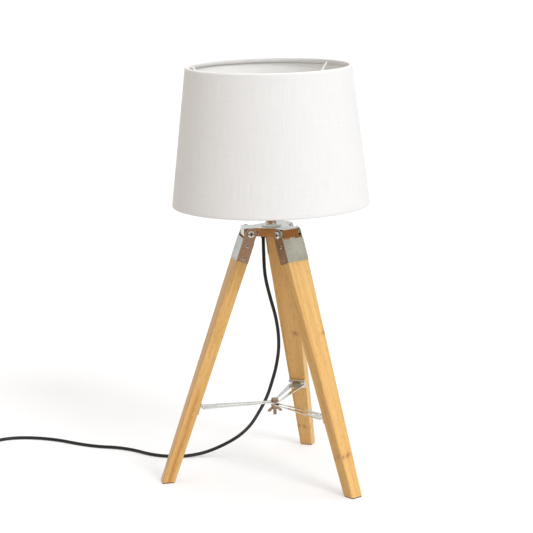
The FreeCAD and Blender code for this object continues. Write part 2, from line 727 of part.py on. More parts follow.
def make_bar(side, turn, level):
    """Spreader bar: hinge knuckle, short drop, then a tapered slotted plate to the middle."""
    body = place(new_body(f"strip_{side}"), at(turn=turn), at(HINGE_RADIUS, 0, HINGE_HEIGHT))
    top = f"(-knuckle_radius - knuckle_gap - bar_step * {level})"
    pad(body, "XZ_Plane", "knuckle_half_width * 2", [{"radius": "knuckle_radius"}], both_ways=True)
    pad(body, "XZ_Plane", "knuckle_half_width * 2", [rectangle(
        "-knuckle_radius", "-knuckle_radius + bar_sheet", f"{top} - bar_sheet", 0,
    )], both_ways=True)
    pad(body, "XY_Plane", "bar_sheet", [[
        ("-knuckle_radius + bar_sheet", "-bar_outer_width / 2"),
        ("-knuckle_radius + bar_sheet", "bar_outer_width / 2"),
        (f"-{HINGE_RADIUS}", "bar_inner_width / 2"),
        (f"-{HINGE_RADIUS}", "-bar_inner_width / 2"),
    ]], lift=f"{top} - bar_sheet")
    pad(body, "XY_Plane", "bar_sheet",
        [{"radius": "bar_inner_width / 2", "x": f"-{HINGE_RADIUS}"}], lift=f"{top} - bar_sheet")
    slot_far = f"(-{FOLDED_RADIUS} + slot_spare)"
    pocket(body, "XY_Plane", "bar_sheet * 3", [rectangle(
        f"-{HINGE_RADIUS}", slot_far, "-slot_width / 2", "slot_width / 2",
    )], lift=f"{top} + bar_sheet")
    for middle in (f"-{HINGE_RADIUS}", slot_far):
        pocket(body, "XY_Plane", "bar_sheet * 3", [{"radius": "slot_width / 2", "x": middle}],
               lift=f"{top} + bar_sheet")
    pocket(body, "XZ_Plane", "knuckle_half_width * 3",
           [{"radius": "hinge_pin_radius + running_gap"}], both_ways=True)
    return keep(f"spreader_bar_{side}", body)


def pivot_head(low):
    """Half profile of a pan head that starts at the given height."""
    return [("pivot_head_radius", low),
            ("pivot_head_radius", f"{low} + pivot_head_height * 0.4"),
            ("pivot_head_radius * 0.6", f"{low} + pivot_head_height"),
            (0, f"{low} + pivot_head_height")]


def slotted(body):
    pocket(body, "XY_Plane", "pivot_slot_depth",
           [rectangle("-pivot_head_radius - 1", "pivot_head_radius + 1",
                      "-pivot_slot_width / 2", "pivot_slot_width / 2")],
           lift="bracket_width / 2 + side_gap + pivot_head_height")


HEAD_SEAT = "(bracket_width / 2 + side_gap)"
sleeves, pivot_screws, spacers = [], [], []
for side, (turn, level) in SIDES.items():
    frame = doc.addObject("App::LocalCoordinateSystem", f"leg_frame_{side}")
    place(frame, at(turn=turn), at("pivot_radius", 0, "pivot_height", (0, 1, 0), "-leg_lean"))
    leg_frame = f"{frame.Name}.Placement"
    make_leg(side, leg_frame)
    make_bracket(side, leg_frame)
    screws = [place(wood_screw(f"wood_screw_{side}"), leg_frame, where)
              for where in screw_places()]
    keep(f"leg_screws_{side}", group(f"screws_{side}", screws))
    make_foot_pad(side, turn)
    make_hinge_leaf(side, leg_frame)
    make_hinge_pin(side, leg_frame)
    make_bar(side, turn, level)

    # The pivot is a sleeve nut with a screw in its end, both fixed in the hub's lobe.
    hub_frame = (at(turn=turn), at("pivot_radius", 0, "pivot_height"))
    sleeve = turned(f"sleeve_nut_{side}", [
        ("sleeve_bore", f"-{HEAD_SEAT} + side_gap * 2"),
        ("sleeve_radius", f"-{HEAD_SEAT} + side_gap * 2"),
        ("sleeve_radius", HEAD_SEAT),
    ] + pivot_head(HEAD_SEAT) + [(0, HEAD_SEAT), ("sleeve_bore", HEAD_SEAT)])
    slotted(sleeve)
    sleeves.append(place(sleeve, *hub_frame, at(axis=(1, 0, 0), turn=90)))
    screw = turned(f"pivot_screw_{side}", [
        (0, f"{HEAD_SEAT} - pivot_screw_reach"),
        ("pivot_screw_radius", f"{HEAD_SEAT} - pivot_screw_reach"),
        ("pivot_screw_radius", HEAD_SEAT),
    ] + pivot_head(HEAD_SEAT))
    slotted(screw)
    pivot_screws.append(place(screw, *hub_frame, at(axis=(1, 0, 0), turn=-90)))
    for rotation in (90, -90):
        spacer = tube(f"spacer_{side}", "pivot_head_radius", "sleeve_radius + thread_gap",
                      "lobe_half_width", f"{EAR_IN} - side_gap")
        spacers.append(place(spacer, *hub_frame, at(axis=(1, 0, 0), turn=rotation)))
keep("pivot_sleeves", group("sleeve_nuts", sleeves))
keep("pivot_screws", group("pivot_screw_set", pivot_screws))
keep("pivot_spacers", group("spacer_set", spacers))

# ---- bolt, washers and wing nut that clamp the bars on the lamp's axis

STACK_TOP = f"({HINGE_HEIGHT} - knuckle_radius - knuckle_gap)"
STACK_LOW = f"({STACK_TOP} - bar_step * 2 - bar_sheet)"
UPPER_WASHER = f"({STACK_TOP} + stack_gap)"
LOWER_WASHER = f"({STACK_LOW} - stack_gap - bolt_washer_thick)"
bolt = new_body("bolt")
pad(bolt, "XY_Plane", "bolt_head_height", [hexagon("bolt_head_half_flats")],
    lift=f"{UPPER_WASHER} + bolt_washer_thick")
pad(bolt, "XY_Plane", "bolt_length", [{"radius": "bolt_radius"}],
    lift=f"{UPPER_WASHER} + bolt_washer_thick - bolt_length")
keep("centre_bolt", bolt)
keep("bolt_washers", group("washer_pair", [
    tube(f"washer_{index}", "bolt_washer_radius", "bolt_radius + thread_gap",
         low, f"{low} + bolt_washer_thick")
    for index, low in enumerate((UPPER_WASHER, LOWER_WASHER))
]))
WING_TOP = f"({LOWER_WASHER} - side_gap)"
wing = turned("wing", [
    ("bolt_radius + running_gap", WING_TOP),
    ("wing_hub_radius + 0.9", WING_TOP),
    ("wing_hub_radius", f"{WING_TOP} - wing_hub_height"),
    ("bolt_radius + running_gap", f"{WING_TOP} - wing_hub_height"),
])
for sign in ("", "-"):
    pad(wing, "XZ_Plane", "wing_thick", [[
        (f"{sign}(bolt_radius + 1)", f"{WING_TOP} - 0.8"),
        (f"{sign}(wing_span / 2 - 2)", f"{WING_TOP} - wing_drop * 0.55"),
        (f"{sign}(wing_span / 2)", f"{WING_TOP} - wing_drop * 0.8"),
        (f"{sign}(wing_span / 2 - 1)", f"{WING_TOP} - wing_drop"),
        (f"{sign}(wing_span / 2 - 4.5)", f"{WING_TOP} - wing_drop * 0.95"),
        (f"{sign}(bolt_radius + 1)", f"{WING_TOP} - wing_hub_height"),
    ]], both_ways=True)
keep("wing_nut", wing)

# ---- cord: hand-laid route from the grip to the switch, link, wound coil and tail

CORD = size("cord_diameter")
FLOOR = CORD / 2
SWITCH_X = size("switch_x")
CORD_IN_SWITCH = size("switch_cord_height")
SWITCH_NEAR = size("switch_y") + size("switch_length") / 2
SWITCH_FAR = size("switch_y") - size("switch_length") / 2
COIL_X = SWITCH_X - size("link_shift") - size("coil_outer_radius")
COIL_Y = SWITCH_FAR - size("link_length") - CORD
LEAD_ROUTE = [
    (size("outlet_x"), size("outlet_y"), number("grip_floor - outlet_length")),
    (size("outlet_x"), size("outlet_y"), 320),
    (-9.2, 8.2, 290),
    (-1.4, 9.8, 258),
    (7.4, 11.2, 226),
    (11.4, 13.8, 190),
    (7.6, 17.4, 157),
    (1.0, 22.2, 131),
    (-4.2, 34.0, 106),
    (-12.5, 51.5, 80),
    (-21.5, 73.0, 54),
    (-35.0, 95.5, 32),
    (-57.0, 110.0, 15.5),
    (-84.0, 112.5, 5.5),
    (-111.0, 111.8, FLOOR),
    (-138.0, 116.5, FLOOR),
    (-163.0, 134.0, FLOOR),
    (-184.0, 165.0, FLOOR),
    (-207.0, 186.0, FLOOR),
    (-235.0, 198.5, FLOOR),
    (-262.0, 221.0, FLOOR),
    (-290.0, 252.0, FLOOR),
    (-322.0, 273.0, FLOOR),
    (-351.0, 282.0, FLOOR),
    (-373.5, 279.5, FLOOR),
    (-392.5, 267.0, 2.7),
    (SWITCH_X, 248.5, CORD_IN_SWITCH),
    (SWITCH_X, SWITCH_NEAR, CORD_IN_SWITCH),
]


def vectors(points):
    return [FreeCAD.Vector(*point) for point in points]


def arc_edge(start, toward, end):
    """Arc that leaves start towards a corner and reaches end, the corner equally far from both."""
    middle = (start + end) * 0.5
    half = (end - start).Length / 2
    lean = math.acos(min(1.0, half / (toward - start).Length))
    outward = (toward - middle).normalize()
    return Part.Arc(start, middle + outward * (half * math.tan(lean / 2)), end).toShape()


def rounded_path(points):
    """Straight runs joined by tangent arcs; returns the edges and the arcs' radii."""
    corners = vectors(points)
    edges, radii = [], []
    last = corners[0]
    for before, corner, after in zip(corners, corners[1:], corners[2:]):
        back = (before - corner).normalize()
        ahead = (after - corner).normalize()
        cut = 0.45 * min((before - corner).Length, (after - corner).Length)
        start, end = corner + back * cut, corner + ahead * cut
        edges.append(Part.LineSegment(last, start).toShape())
        edges.append(arc_edge(start, corner, end))
        radii.append(cut / math.tan((math.pi - back.getAngle(ahead)) / 2))
        last = end
    edges.append(Part.LineSegment(last, corners[-1]).toShape())
    return edges, radii


def pipe(name, edges, diameter):
    """A round solid along a path of tangent edges, checked against section times length."""
    start = edges[0].firstVertex().Point
    direction = edges[0].tangentAt(edges[0].FirstParameter)
    ring = Part.Wire([Part.Circle(start, direction, diameter / 2).toShape()])
    shell = Part.BRepOffsetAPI.MakePipeShell(Part.Wire(edges))
    shell.add(ring)
    shell.build()
    shell.makeSolid()
    solid = Part.Solid(shell.shape()) if shell.shape().ShapeType == "Shell" else shell.shape()
    length = sum(edge.Length for edge in edges)
    expected = math.pi * diameter ** 2 / 4 * length
    print(f"{name}: length {length:.1f}, volume over section times length "
          f"{solid.Volume / expected:.4f}")
    if solid.Volume < 0:
        solid.reverse()
    feature = doc.addObject("Part::Feature", name)
    feature.Shape = solid
    feature.Placement = FreeCAD.Placement()
    return feature


def laid_cord(name, points):
    edges, radii = rounded_path(points)
    if radii:
        print(f"{name}: radii", " ".join(f"{radius:.0f}" for radius in radii))
    return keep(name, pipe(f"{name}_tube", edges, CORD))


laid_cord("cord_lead", LEAD_ROUTE)

# The coil winds clockwise seen from above: inwards on the lower layer, then outwards on the
# upper one, and it climbs in the half turn round the place where the spiral turns back.
TURNS_PER_LAYER = 2.25
CLIMB_TURNS = 0.5
COIL_TURNS = TURNS_PER_LAYER * 2


def coil_point(turn):
    climb = min(max((turn - TURNS_PER_LAYER) / CLIMB_TURNS + 0.5, 0.0), 1.0)
    wound = TURNS_PER_LAYER - abs(turn - TURNS_PER_LAYER)
    radius = size("coil_outer_radius") - size("coil_pitch") * wound
    rise = climb * climb * (3 - 2 * climb) * size("coil_layer")
    angle = -2 * math.pi * turn
    return FreeCAD.Vector(COIL_X + radius * math.cos(angle),
                          COIL_Y + radius * math.sin(angle),
                          CORD_IN_SWITCH + rise)


def coil_station(turn):
    """Point and direction of the winding at a number of turns."""
    tiny = 1e-4
    if turn < tiny or turn > COIL_TURNS - tiny:
        tangent = FreeCAD.Vector(0, -1 if turn < tiny else 1, 0)
    else:
        tangent = (coil_point(turn + tiny) - coil_point(turn - tiny)).normalize()
    return coil_point(turn), tangent


def biarc(start, start_direction, end, end_direction):
    """Two arcs that join two points with given directions and share a tangent between."""
    chord = end - start
    both = start_direction + end_direction
    square = 2 * (start_direction.dot(end_direction) - 1)
    linear = -2 * chord.dot(both)
    constant = chord.dot(chord)
    root = math.sqrt(linear ** 2 - 4 * square * constant)
    reach = (-linear - root) / (2 * square)
    if reach < 0:
        reach = (-linear + root) / (2 * square)
    first, second = start + start_direction * reach, end - end_direction * reach
    middle = (first + second) * 0.5
    return [arc_edge(start, first, middle), arc_edge(middle, second, end)]


STEPS_PER_TURN = 4
stations = [coil_station(step / STEPS_PER_TURN)
            for step in range(int(COIL_TURNS * STEPS_PER_TURN) + 1)]
coil_start = stations[0][0] - stations[0][1] * CORD
coil_end = stations[-1][0] + stations[-1][1] * CORD
coil_edges = [Part.LineSegment(coil_start, stations[0][0]).toShape()]
for (point, direction), (ahead, ahead_direction) in zip(stations, stations[1:]):
    coil_edges += biarc(point, direction, ahead, ahead_direction)
coil_edges.append(Part.LineSegment(stations[-1][0], coil_end).toShape())
keep("cord_coil", pipe("cord_coil_tube", coil_edges, CORD))


def least_self_gap(edges, diameter):
    """Least free distance between stretches of the winding over half a turn apart."""
    points, places, travelled = [], [], 0.0
    for edge in edges:
        count = max(2, int(edge.Length / 2))
        for k in range(count):
            points.append(edge.valueAt(edge.getParameterByLength(edge.Length * k / count)))
            places.append(travelled + edge.Length * k / count)
        travelled += edge.Length
    apart = 4 * diameter
    return min((p - q).Length
               for i, p in enumerate(points)
               for j, q in enumerate(points[:i])
               if places[i] - places[j] > apart) - diameter


print(f"cord_coil: least gap to itself {least_self_gap(coil_edges, CORD):.2f}")

link, shift = size("link_length"), size("link_shift")
laid_cord("cord_link", [
    (SWITCH_X, SWITCH_FAR, CORD_IN_SWITCH),
    (SWITCH_X, SWITCH_FAR - link / 3, CORD_IN_SWITCH),
    (SWITCH_X - shift, SWITCH_FAR - link * 2 / 3, CORD_IN_SWITCH),
    (SWITCH_X - shift, SWITCH_FAR - link, CORD_IN_SWITCH),
])
PLUG_START = coil_end.y + size("tail_length")
laid_cord("cord_tail", [
    tuple(coil_end),
    (coil_end.x, coil_end.y + size("tail_length") * 0.3, coil_end.z),
    (coil_end.x, coil_end.y + size("tail_length") * 0.7, size("plug_height")),
    (coil_end.x, PLUG_START, size("plug_height")),
])

# A flat tie round all the turns at the coil's near side.
inner_radius = size("coil_outer_radius") - size("coil_pitch") * TURNS_PER_LAYER - CORD / 2
bundle_in = math.sqrt(inner_radius ** 2 - size("tie_width") ** 2 / 4)
bundle_out = size("coil_outer_radius") + CORD / 2
bundle_low = CORD_IN_SWITCH - CORD / 2
bundle_top = CORD_IN_SWITCH + size("coil_layer") + CORD / 2
gap, sheet_thick = size("tie_gap"), size("tie_sheet")


def tie_box(grow):
    """Box round the bundle at the coil's near side, grown by a distance."""
    return Part.makeBox(size("tie_width"), bundle_out - bundle_in + 2 * grow,
                        bundle_top - bundle_low + 2 * grow,
                        FreeCAD.Vector(COIL_X - size("tie_width") / 2,
                                       COIL_Y - bundle_out - grow, bundle_low - grow))


tie = doc.addObject("Part::Feature", "tie_band")
tie.Shape = tie_box(gap + sheet_thick).cut(tie_box(gap))
tie.Placement = FreeCAD.Placement()
keep("cord_tie", tie)

# ---- switch in the cord

switch_frame = at("switch_x", "switch_y")
HALF_L, HALF_W = "(switch_length / 2)", "(switch_width / 2)"
SWITCH_TOP = "(switch_base_height + switch_cover_height)"
SCREW_POSTS = [{"radius": "switch_screw_radius + thread_gap", "y": f"{sign}switch_screw_pitch / 2"}
               for sign in ("-", "")]


def chamfered(half_x, half_y, corner):
    """Rectangle with its corners cut off, about the origin."""
    signs = ((1, -1), (1, 1), (-1, 1), (-1, -1))
    points = []
    for index, (sx, sy) in enumerate(signs):
        near_y = (f"{sx} * ({half_x})", f"{sy} * ({half_y} - {corner})")
        near_x = (f"{sx} * ({half_x} - {corner})", f"{sy} * ({half_y})")
        points += [near_x, near_y] if index % 2 == 0 else [near_y, near_x]
    return points


def switch_half(name, low, high, upper):
    body = place(new_body(name), switch_frame)
    pad(body, "XY_Plane", f"{high} - {low}", [chamfered(HALF_W, HALF_L, "switch_corner")], lift=low)
    inner = chamfered(f"{HALF_W} - switch_wall", f"{HALF_L} - switch_wall * 3", "switch_corner")
    if upper:
        pocket(body, "XY_Plane", f"{high} - {low} - switch_top_wall", [inner],
               lift=low, upward=True)
        window = rectangle("-rocker_width / 2 - rocker_gap", "rocker_width / 2 + rocker_gap",
                           "-rocker_length / 2 - rocker_gap", "rocker_length / 2 + rocker_gap")
        pocket(body, "XY_Plane", "switch_top_wall * 2", [window], lift=f"{high} + 1")
    else:
        pocket(body, "XY_Plane", f"{high} - {low} - switch_wall", [inner], lift=high)
    return body


base = switch_half("switch_tray", "0", "switch_base_height", False)
pad(base, "XY_Plane", "switch_base_height",
    [{"radius": "switch_screw_radius * 2.2", "y": f"{sign}switch_screw_pitch / 2"}
     for sign in ("-", "")])
pocket(base, "XY_Plane", "switch_base_height * 3", SCREW_POSTS, lift="switch_base_height * 2")
keep("switch_base", base)
lid = switch_half("switch_lid", "switch_base_height", SWITCH_TOP, True)
pad(lid, "XY_Plane", "switch_cover_height - switch_top_wall / 2",
    [{"radius": "switch_screw_radius * 2.2", "y": f"{sign}switch_screw_pitch / 2"}
     for sign in ("-", "")], lift="switch_base_height")
pocket(lid, "XY_Plane", "switch_cover_height - switch_top_wall", SCREW_POSTS,
       lift="switch_base_height", upward=True)
pocket(lid, "YZ_Plane", "rocker_width + rocker_gap * 2 + rocker_pin_inset * 2",
       [{"radius": "rocker_pin_radius + running_gap",
         "y": f"{SWITCH_TOP} - switch_top_wall / 2"}], both_ways=True)
keep("switch_cover", lid)

rocker = place(new_body("rocker"), switch_frame,
               at(0, 0, f"{SWITCH_TOP} - switch_top_wall / 2", (1, 0, 0), "rocker_tilt"))
pad(rocker, "YZ_Plane", "rocker_width", [[
    ("-rocker_length / 2 + 0.8", "-2"),
    ("rocker_length / 2 - 0.8", "-2"),
    ("rocker_length / 2 - 0.4", "switch_top_wall / 2 + 1.6"),
    ("0", "switch_top_wall / 2 + 0.9"),
    ("-rocker_length / 2 + 0.4", "switch_top_wall / 2 + 1.6"),
]], both_ways=True)
pad(rocker, "YZ_Plane", "rocker_width + rocker_gap * 2 + rocker_pin_inset * 1.6",
    [{"radius": "rocker_pin_radius"}], both_ways=True)
keep("switch_rocker", rocker)

case_screws = []
for sign in ("-", ""):
    case_screw = turned("case_screw", [
        (0, "0.4"),
        ("switch_screw_radius", "0.4"),
        ("switch_screw_radius", "switch_base_height + switch_cover_height - switch_top_wall - 0.5"),
        (0, "switch_base_height + switch_cover_height - switch_top_wall - 0.5"),
    ])
    case_screws.append(place(case_screw, switch_frame, at(y=f"{sign}switch_screw_pitch / 2")))
keep("switch_screws", group("case_screw_pair", case_screws))

# ---- plug at the tail's end: sleeve, flat body and two round pins

plug_base = place(new_body("plug_shell"),
                  at(coil_end.x, PLUG_START, "plug_height", (1, 0, 0), -90))
sleeve = sketch_on(plug_base, "XZ_Plane")
polygon(sleeve, [
    (0, 0),
    ("cord_diameter / 2 + 0.7", 0),
    ("plug_sleeve_radius", "plug_sleeve_length"),
    ("plug_sleeve_radius", "plug_sleeve_length + 4"),
    (0, "plug_sleeve_length + 4"),
])
sleeve_turn = plug_base.newObject("PartDesign::Revolution", "plug_sleeve")
sleeve_turn.Profile = sleeve
sleeve_turn.ReferenceAxis = (sleeve, ["V_Axis"])
sleeve_turn.Angle = 360.0
doc.recompute()
rear = sketch_on(plug_base, "XY_Plane", "plug_sleeve_length")
polygon(rear, chamfered("plug_rear_width / 2", "plug_height - 1", "3"))
face = sketch_on(plug_base, "XY_Plane", "plug_sleeve_length + plug_length * 0.6")
polygon(face, chamfered("plug_face_width / 2", "plug_height", "4.5"))
flare = plug_base.newObject("PartDesign::AdditiveLoft", "plug_flare")
flare.Profile = rear
flare.Sections = [face]
flare.Ruled = True
doc.recompute()
pad(plug_base, "XY_Plane", "plug_length * 0.4",
    [chamfered("plug_face_width / 2", "plug_height", "4.5")],
    lift="plug_sleeve_length + plug_length * 0.6")
PIN_LOW = "(plug_sleeve_length + plug_length - pin_seat)"
pocket(plug_base, "XY_Plane", "pin_seat",
       [{"radius": "pin_radius + thread_gap", "x": f"{sign}pin_pitch / 2"} for sign in ("-", "")],
       lift="plug_sleeve_length + plug_length")
keep("plug_body", plug_base)
pins = []
for sign in ("-", ""):
    pin = turned("pin", [
        (0, PIN_LOW),
        ("pin_radius", PIN_LOW),
        ("pin_radius", f"{PIN_LOW} + pin_seat + pin_length - 1"),
        ("pin_radius - 1", f"{PIN_LOW} + pin_seat + pin_length"),
        (0, f"{PIN_LOW} + pin_seat + pin_length"),
    ])
    pins.append(place(pin, at(coil_end.x, PLUG_START, "plug_height", (1, 0, 0), -90),
                      at(x=f"{sign}pin_pitch / 2")))
keep("plug_pins", group("pin_pair", pins))

# ---- check and write

doc.recompute()
for thing in doc.Objects:
    if "Invalid" in thing.State or "Error" in thing.State:
        raise RuntimeError(f"{thing.Name} ({thing.Label}) is {thing.State}")
for name, thing in nodes.items():
    shape = thing.Shape
    if shape.isNull() or not shape.isValid() or not shape.Solids:
        raise RuntimeError(f"{name} has no valid solid")
for name, thing in nodes.items():
    thing.Shape.exportStep(f"parts/{name}.step")
box = Part.makeCompound([thing.Shape for thing in nodes.values()]).BoundBox
print(f"{len(nodes)} nodes, {box.XLength:.1f} by {box.YLength:.1f} by {box.ZLength:.1f} mm")
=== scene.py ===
import json
import math
import bmesh
import bpy
import numpy as np
from mathutils import Matrix, Vector


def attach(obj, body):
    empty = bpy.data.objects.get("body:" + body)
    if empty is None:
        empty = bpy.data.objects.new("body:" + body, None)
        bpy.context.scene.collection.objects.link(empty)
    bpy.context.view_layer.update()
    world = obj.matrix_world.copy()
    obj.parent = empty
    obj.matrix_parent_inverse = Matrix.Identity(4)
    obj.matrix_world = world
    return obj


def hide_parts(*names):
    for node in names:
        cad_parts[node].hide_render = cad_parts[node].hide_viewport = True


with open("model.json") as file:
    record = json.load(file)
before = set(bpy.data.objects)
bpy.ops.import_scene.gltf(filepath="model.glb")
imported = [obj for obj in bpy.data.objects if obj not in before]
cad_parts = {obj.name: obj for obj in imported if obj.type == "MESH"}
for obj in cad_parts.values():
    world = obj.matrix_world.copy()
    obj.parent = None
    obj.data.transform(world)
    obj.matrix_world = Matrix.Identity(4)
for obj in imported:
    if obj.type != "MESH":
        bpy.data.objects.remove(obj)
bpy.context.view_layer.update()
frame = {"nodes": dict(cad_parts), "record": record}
scene = bpy.context.scene
scene.view_settings.view_transform = "Standard"
print("frame loaded:", len(frame["nodes"]), "nodes")


# camera, as fitted to the shade rims and the feet: the turn in degrees, pitch, yaw and roll in
# radians, lens and sensor in millimetres, the rest in metres

cameraSet = {"turn": -11.946, "distance": 2.8122, "height": 0.8662, "pitch": 0.1964, "yaw": -0.0029,
             "roll": -0.0196, "lens": 135.85, "sensor": 36, "near": 0.05, "far": 60}
cameraTurn = Matrix.Rotation(math.radians(cameraSet["turn"]), 3, "Z")


def makeCamera(c):
    # forward from yaw and pitch, then right and up turned by the roll, all turned into the frame
    forward = Vector((math.sin(c["yaw"]) * math.cos(c["pitch"]),
                      math.cos(c["yaw"]) * math.cos(c["pitch"]), -math.sin(c["pitch"])))
    right = forward.cross(Vector((0, 0, 1))).normalized()
    up = right.cross(forward)
    rolledRight = right * math.cos(c["roll"]) + up * math.sin(c["roll"])
    rolledUp = up * math.cos(c["roll"]) - right * math.sin(c["roll"])
    data = bpy.data.cameras.new("camera")
    data.lens = c["lens"]
    data.sensor_width = c["sensor"]
    data.clip_start = c["near"]
    data.clip_end = c["far"]
    camera = bpy.data.objects.new("camera", data)
    scene.collection.objects.link(camera)
    basis = Matrix([cameraTurn @ axis for axis in (rolledRight, rolledUp, -forward)]).transposed()
    place = cameraTurn @ Vector((0, -c["distance"], c["height"]))
    camera.matrix_world = Matrix.Translation(place) @ basis.to_4x4()
    scene.camera = camera


makeCamera(cameraSet)
print("camera made")


# shader helpers: a socket that takes Python maths, and one call for every other node

class Value:
    def __init__(self, nodes, socket):
        self.nodes = nodes
        self.socket = socket

    def maths(self, operation, other):
        return self.nodes.node("Math", {"operation": operation}, {0: self, 1: other})

    def __add__(self, other):
        return self.maths("ADD", other)

    def __sub__(self, other):
        return self.maths("SUBTRACT", other)

    def __mul__(self, other):
        return self.maths("MULTIPLY", other)


class Nodes:
    # a node tree and the one shader in it that takes the results
    def __init__(self, tree, shader):
        self.tree = tree
        self.shader = tree.nodes[shader]

    def node(self, kind, settings=None, inputs=None, output=0):
        made = self.tree.nodes.new("ShaderNode" + kind)
        for key, value in (settings or {}).items():
            setattr(made, key, value)
        for key, value in (inputs or {}).items():
            self.feed(made.inputs[key], value)
        return Value(self, made.outputs[output])

    def feed(self, socket, value):
        # a link or a constant; a colour of three numbers gets its fourth
        if isinstance(value, Value):
            self.tree.links.new(value.socket, socket)
        elif socket.type == "RGBA":
            socket.default_value = (*value, 1)
        else:
            socket.default_value = value

    def place(self, scale=(1, 1, 1), source=None):
        # the given coordinates, or else the piece's own, stretched
        source = source or self.node("TexCoord", output="Object")
        return self.node("Mapping", {}, {"Vector": source, "Scale": scale})

    def noise(self, where, scale, detail, rough=0.5):
        inputs = {"Vector": where, "Scale": scale, "Detail": detail, "Roughness": rough}
        return self.node("TexNoise", {}, inputs)

    def ramp(self, factor, stops):
        made = self.node("ValToRGB", {}, {"Fac": factor})
        ramp = made.socket.node.color_ramp
        while len(ramp.elements) < len(stops):
            ramp.elements.new(0.5)
        for element, (position, colour) in zip(ramp.elements, stops):
            element.position = position
            element.color = (*colour, 1)
        return made

    def span(self, value, low, high, outLow=0.0, outHigh=1.0):
        # low to high becomes outLow to outHigh, and nothing leaves that range
        return self.node("MapRange", {}, {"Value": value, "From Min": low, "From Max": high,
                                         "To Min": outLow, "To Max": outHigh})

    def mix(self, factor, first, second):
        return self.node("Mix", {"data_type": "RGBA"}, {0: factor, 6: first, 7: second}, output=2)

    def bump(self, height, strength, distance):
        return self.node("Bump", {}, {"Height": height, "Strength": strength, "Distance": distance})

    def give(self, **sockets):
        for socket, value in sockets.items():
            self.feed(self.shader.inputs[socket.replace("_", " ")], value)


class Finish(Nodes):
    # a material built round one Principled shader
    def __init__(self, name, **fixed):
        self.material = bpy.data.materials.new(name)
        self.material.use_nodes = True
        super().__init__(self.material.node_tree, "Principled BSDF")
        self.give(**fixed)


def srgb(*shown):
    # a colour given as it shows on screen, each part 0 to 255, made linear
    parts = [part / 255 for part in shown]
    return tuple(p / 12.92 if p <= 0.04045 else ((p + 0.055) / 1.055) ** 2.4 for p in parts)


# the values between which nearly all of a noise lies
noiseSpread = (0.3, 0.7)


# bamboo: each noise has its scale across the leg and along it, its detail and its roughness, and
# each spread the low and high value of a noise that become the two shares after them

bambooSet = {"pale": srgb(246, 204, 134), "mid": srgb(230, 180, 106), "dark": srgb(196, 142, 76),
             "pore": srgb(160, 104, 50), "node": srgb(170, 106, 58), "stain": srgb(186, 118, 48),
             "fibre": (900, 9, 4, 0.62), "band": (150, 2.0, 2, 0.5), "broad": (34, 5, 2, 0.5),
             "pores": (2400, 70, 2, 0.5), "speck": (420, 110, 3, 0.6), "blotch": (230, 60, 2, 0.5),
             "wander": (0, 14, 2, 0.5), "wanderWidth": 0.008, "midStop": 0.42,
             "broadSpread": (0.35, 0.7, 0.0, 0.35), "poreSpread": (0.56, 0.78, 0.0, 0.5),
             "speckSpread": (0.56, 0.76, 0.0, 0.42), "nodeSpread": (0.42, 0.62, 0.12, 0.8),
             "stainHalfWidth": 0.0046, "stainCore": 0.0006, "stainTop": -0.222, "stainFade": 0.03,
             "stainStart": (0.002, 0.004), "stainEnd": (0.03, 0.028),
             "stainBreaks": (0.3, 0.6, 0.55, 1.0), "stainShare": 0.7, "gloss": (0.34, 0.5),
             "fibreRelief": 0.7, "poreRelief": 0.4, "nodeRelief": 0.4, "relief": 0.2, "depth": 0.0004}


def makeBamboo(c):
    # fibres along the leg in strips side by side, pores, soft brown nodes, and one brown stain
    # down a side of the left leg, whose own space is the one that starts at zero
    f = Finish("bamboo", Specular_IOR_Level=0.55)
    at = f.node("Attribute", {"attribute_name": "legSpace"}, output="Vector")
    x, y, z = (f.node("SeparateXYZ", {}, {"Vector": at}, output=axis) for axis in "XYZ")
    node = f.node("Attribute", {"attribute_name": "legNode"}, output="Fac")

    def stretched(name):
        across, along, detail, rough = c[name]
        return f.noise(f.place((across, across, along), at), 1.0, detail, rough)

    fibre = stretched("fibre")
    pores = stretched("pores")
    speck = stretched("speck")
    wander = (stretched("wander") - 0.5) * c["wanderWidth"]
    apart = f.node("Math", {"operation": "ABSOLUTE"}, {0: x + wander})
    stain = f.span(apart, c["stainHalfWidth"], c["stainCore"])
    stain = stain * f.span(z, c["stainTop"], c["stainTop"] - c["stainFade"])
    stain = stain * f.span(y, *c["stainStart"]) * f.span(y, *c["stainEnd"])
    stain = stain * f.span(speck, *c["stainBreaks"])
    tone = f.ramp(f.span(fibre * 0.5 + stretched("band") * 0.5, *noiseSpread),
                  [(0.0, c["dark"]), (c["midStop"], c["mid"]), (1.0, c["pale"])])
    tone = f.mix(f.span(stretched("broad"), *c["broadSpread"]), tone, c["mid"])
    tone = f.mix(f.span(pores, *c["poreSpread"]), tone, c["pore"])
    tone = f.mix(f.span(speck, *c["speckSpread"]), tone, c["pore"])
    tone = f.mix(stain * c["stainShare"], tone, c["stain"])
    tone = f.mix(node * f.span(stretched("blotch"), *c["nodeSpread"]), tone, c["node"])
    height = fibre * c["fibreRelief"] + pores * c["poreRelief"] - node * c["nodeRelief"]
    f.give(Base_Color=tone, Roughness=f.span(fibre, *noiseSpread, *c["gloss"]),
           Normal=f.bump(height, c["relief"], c["depth"]))
    return f.material


# steel: what all plates share, then each finish of its own

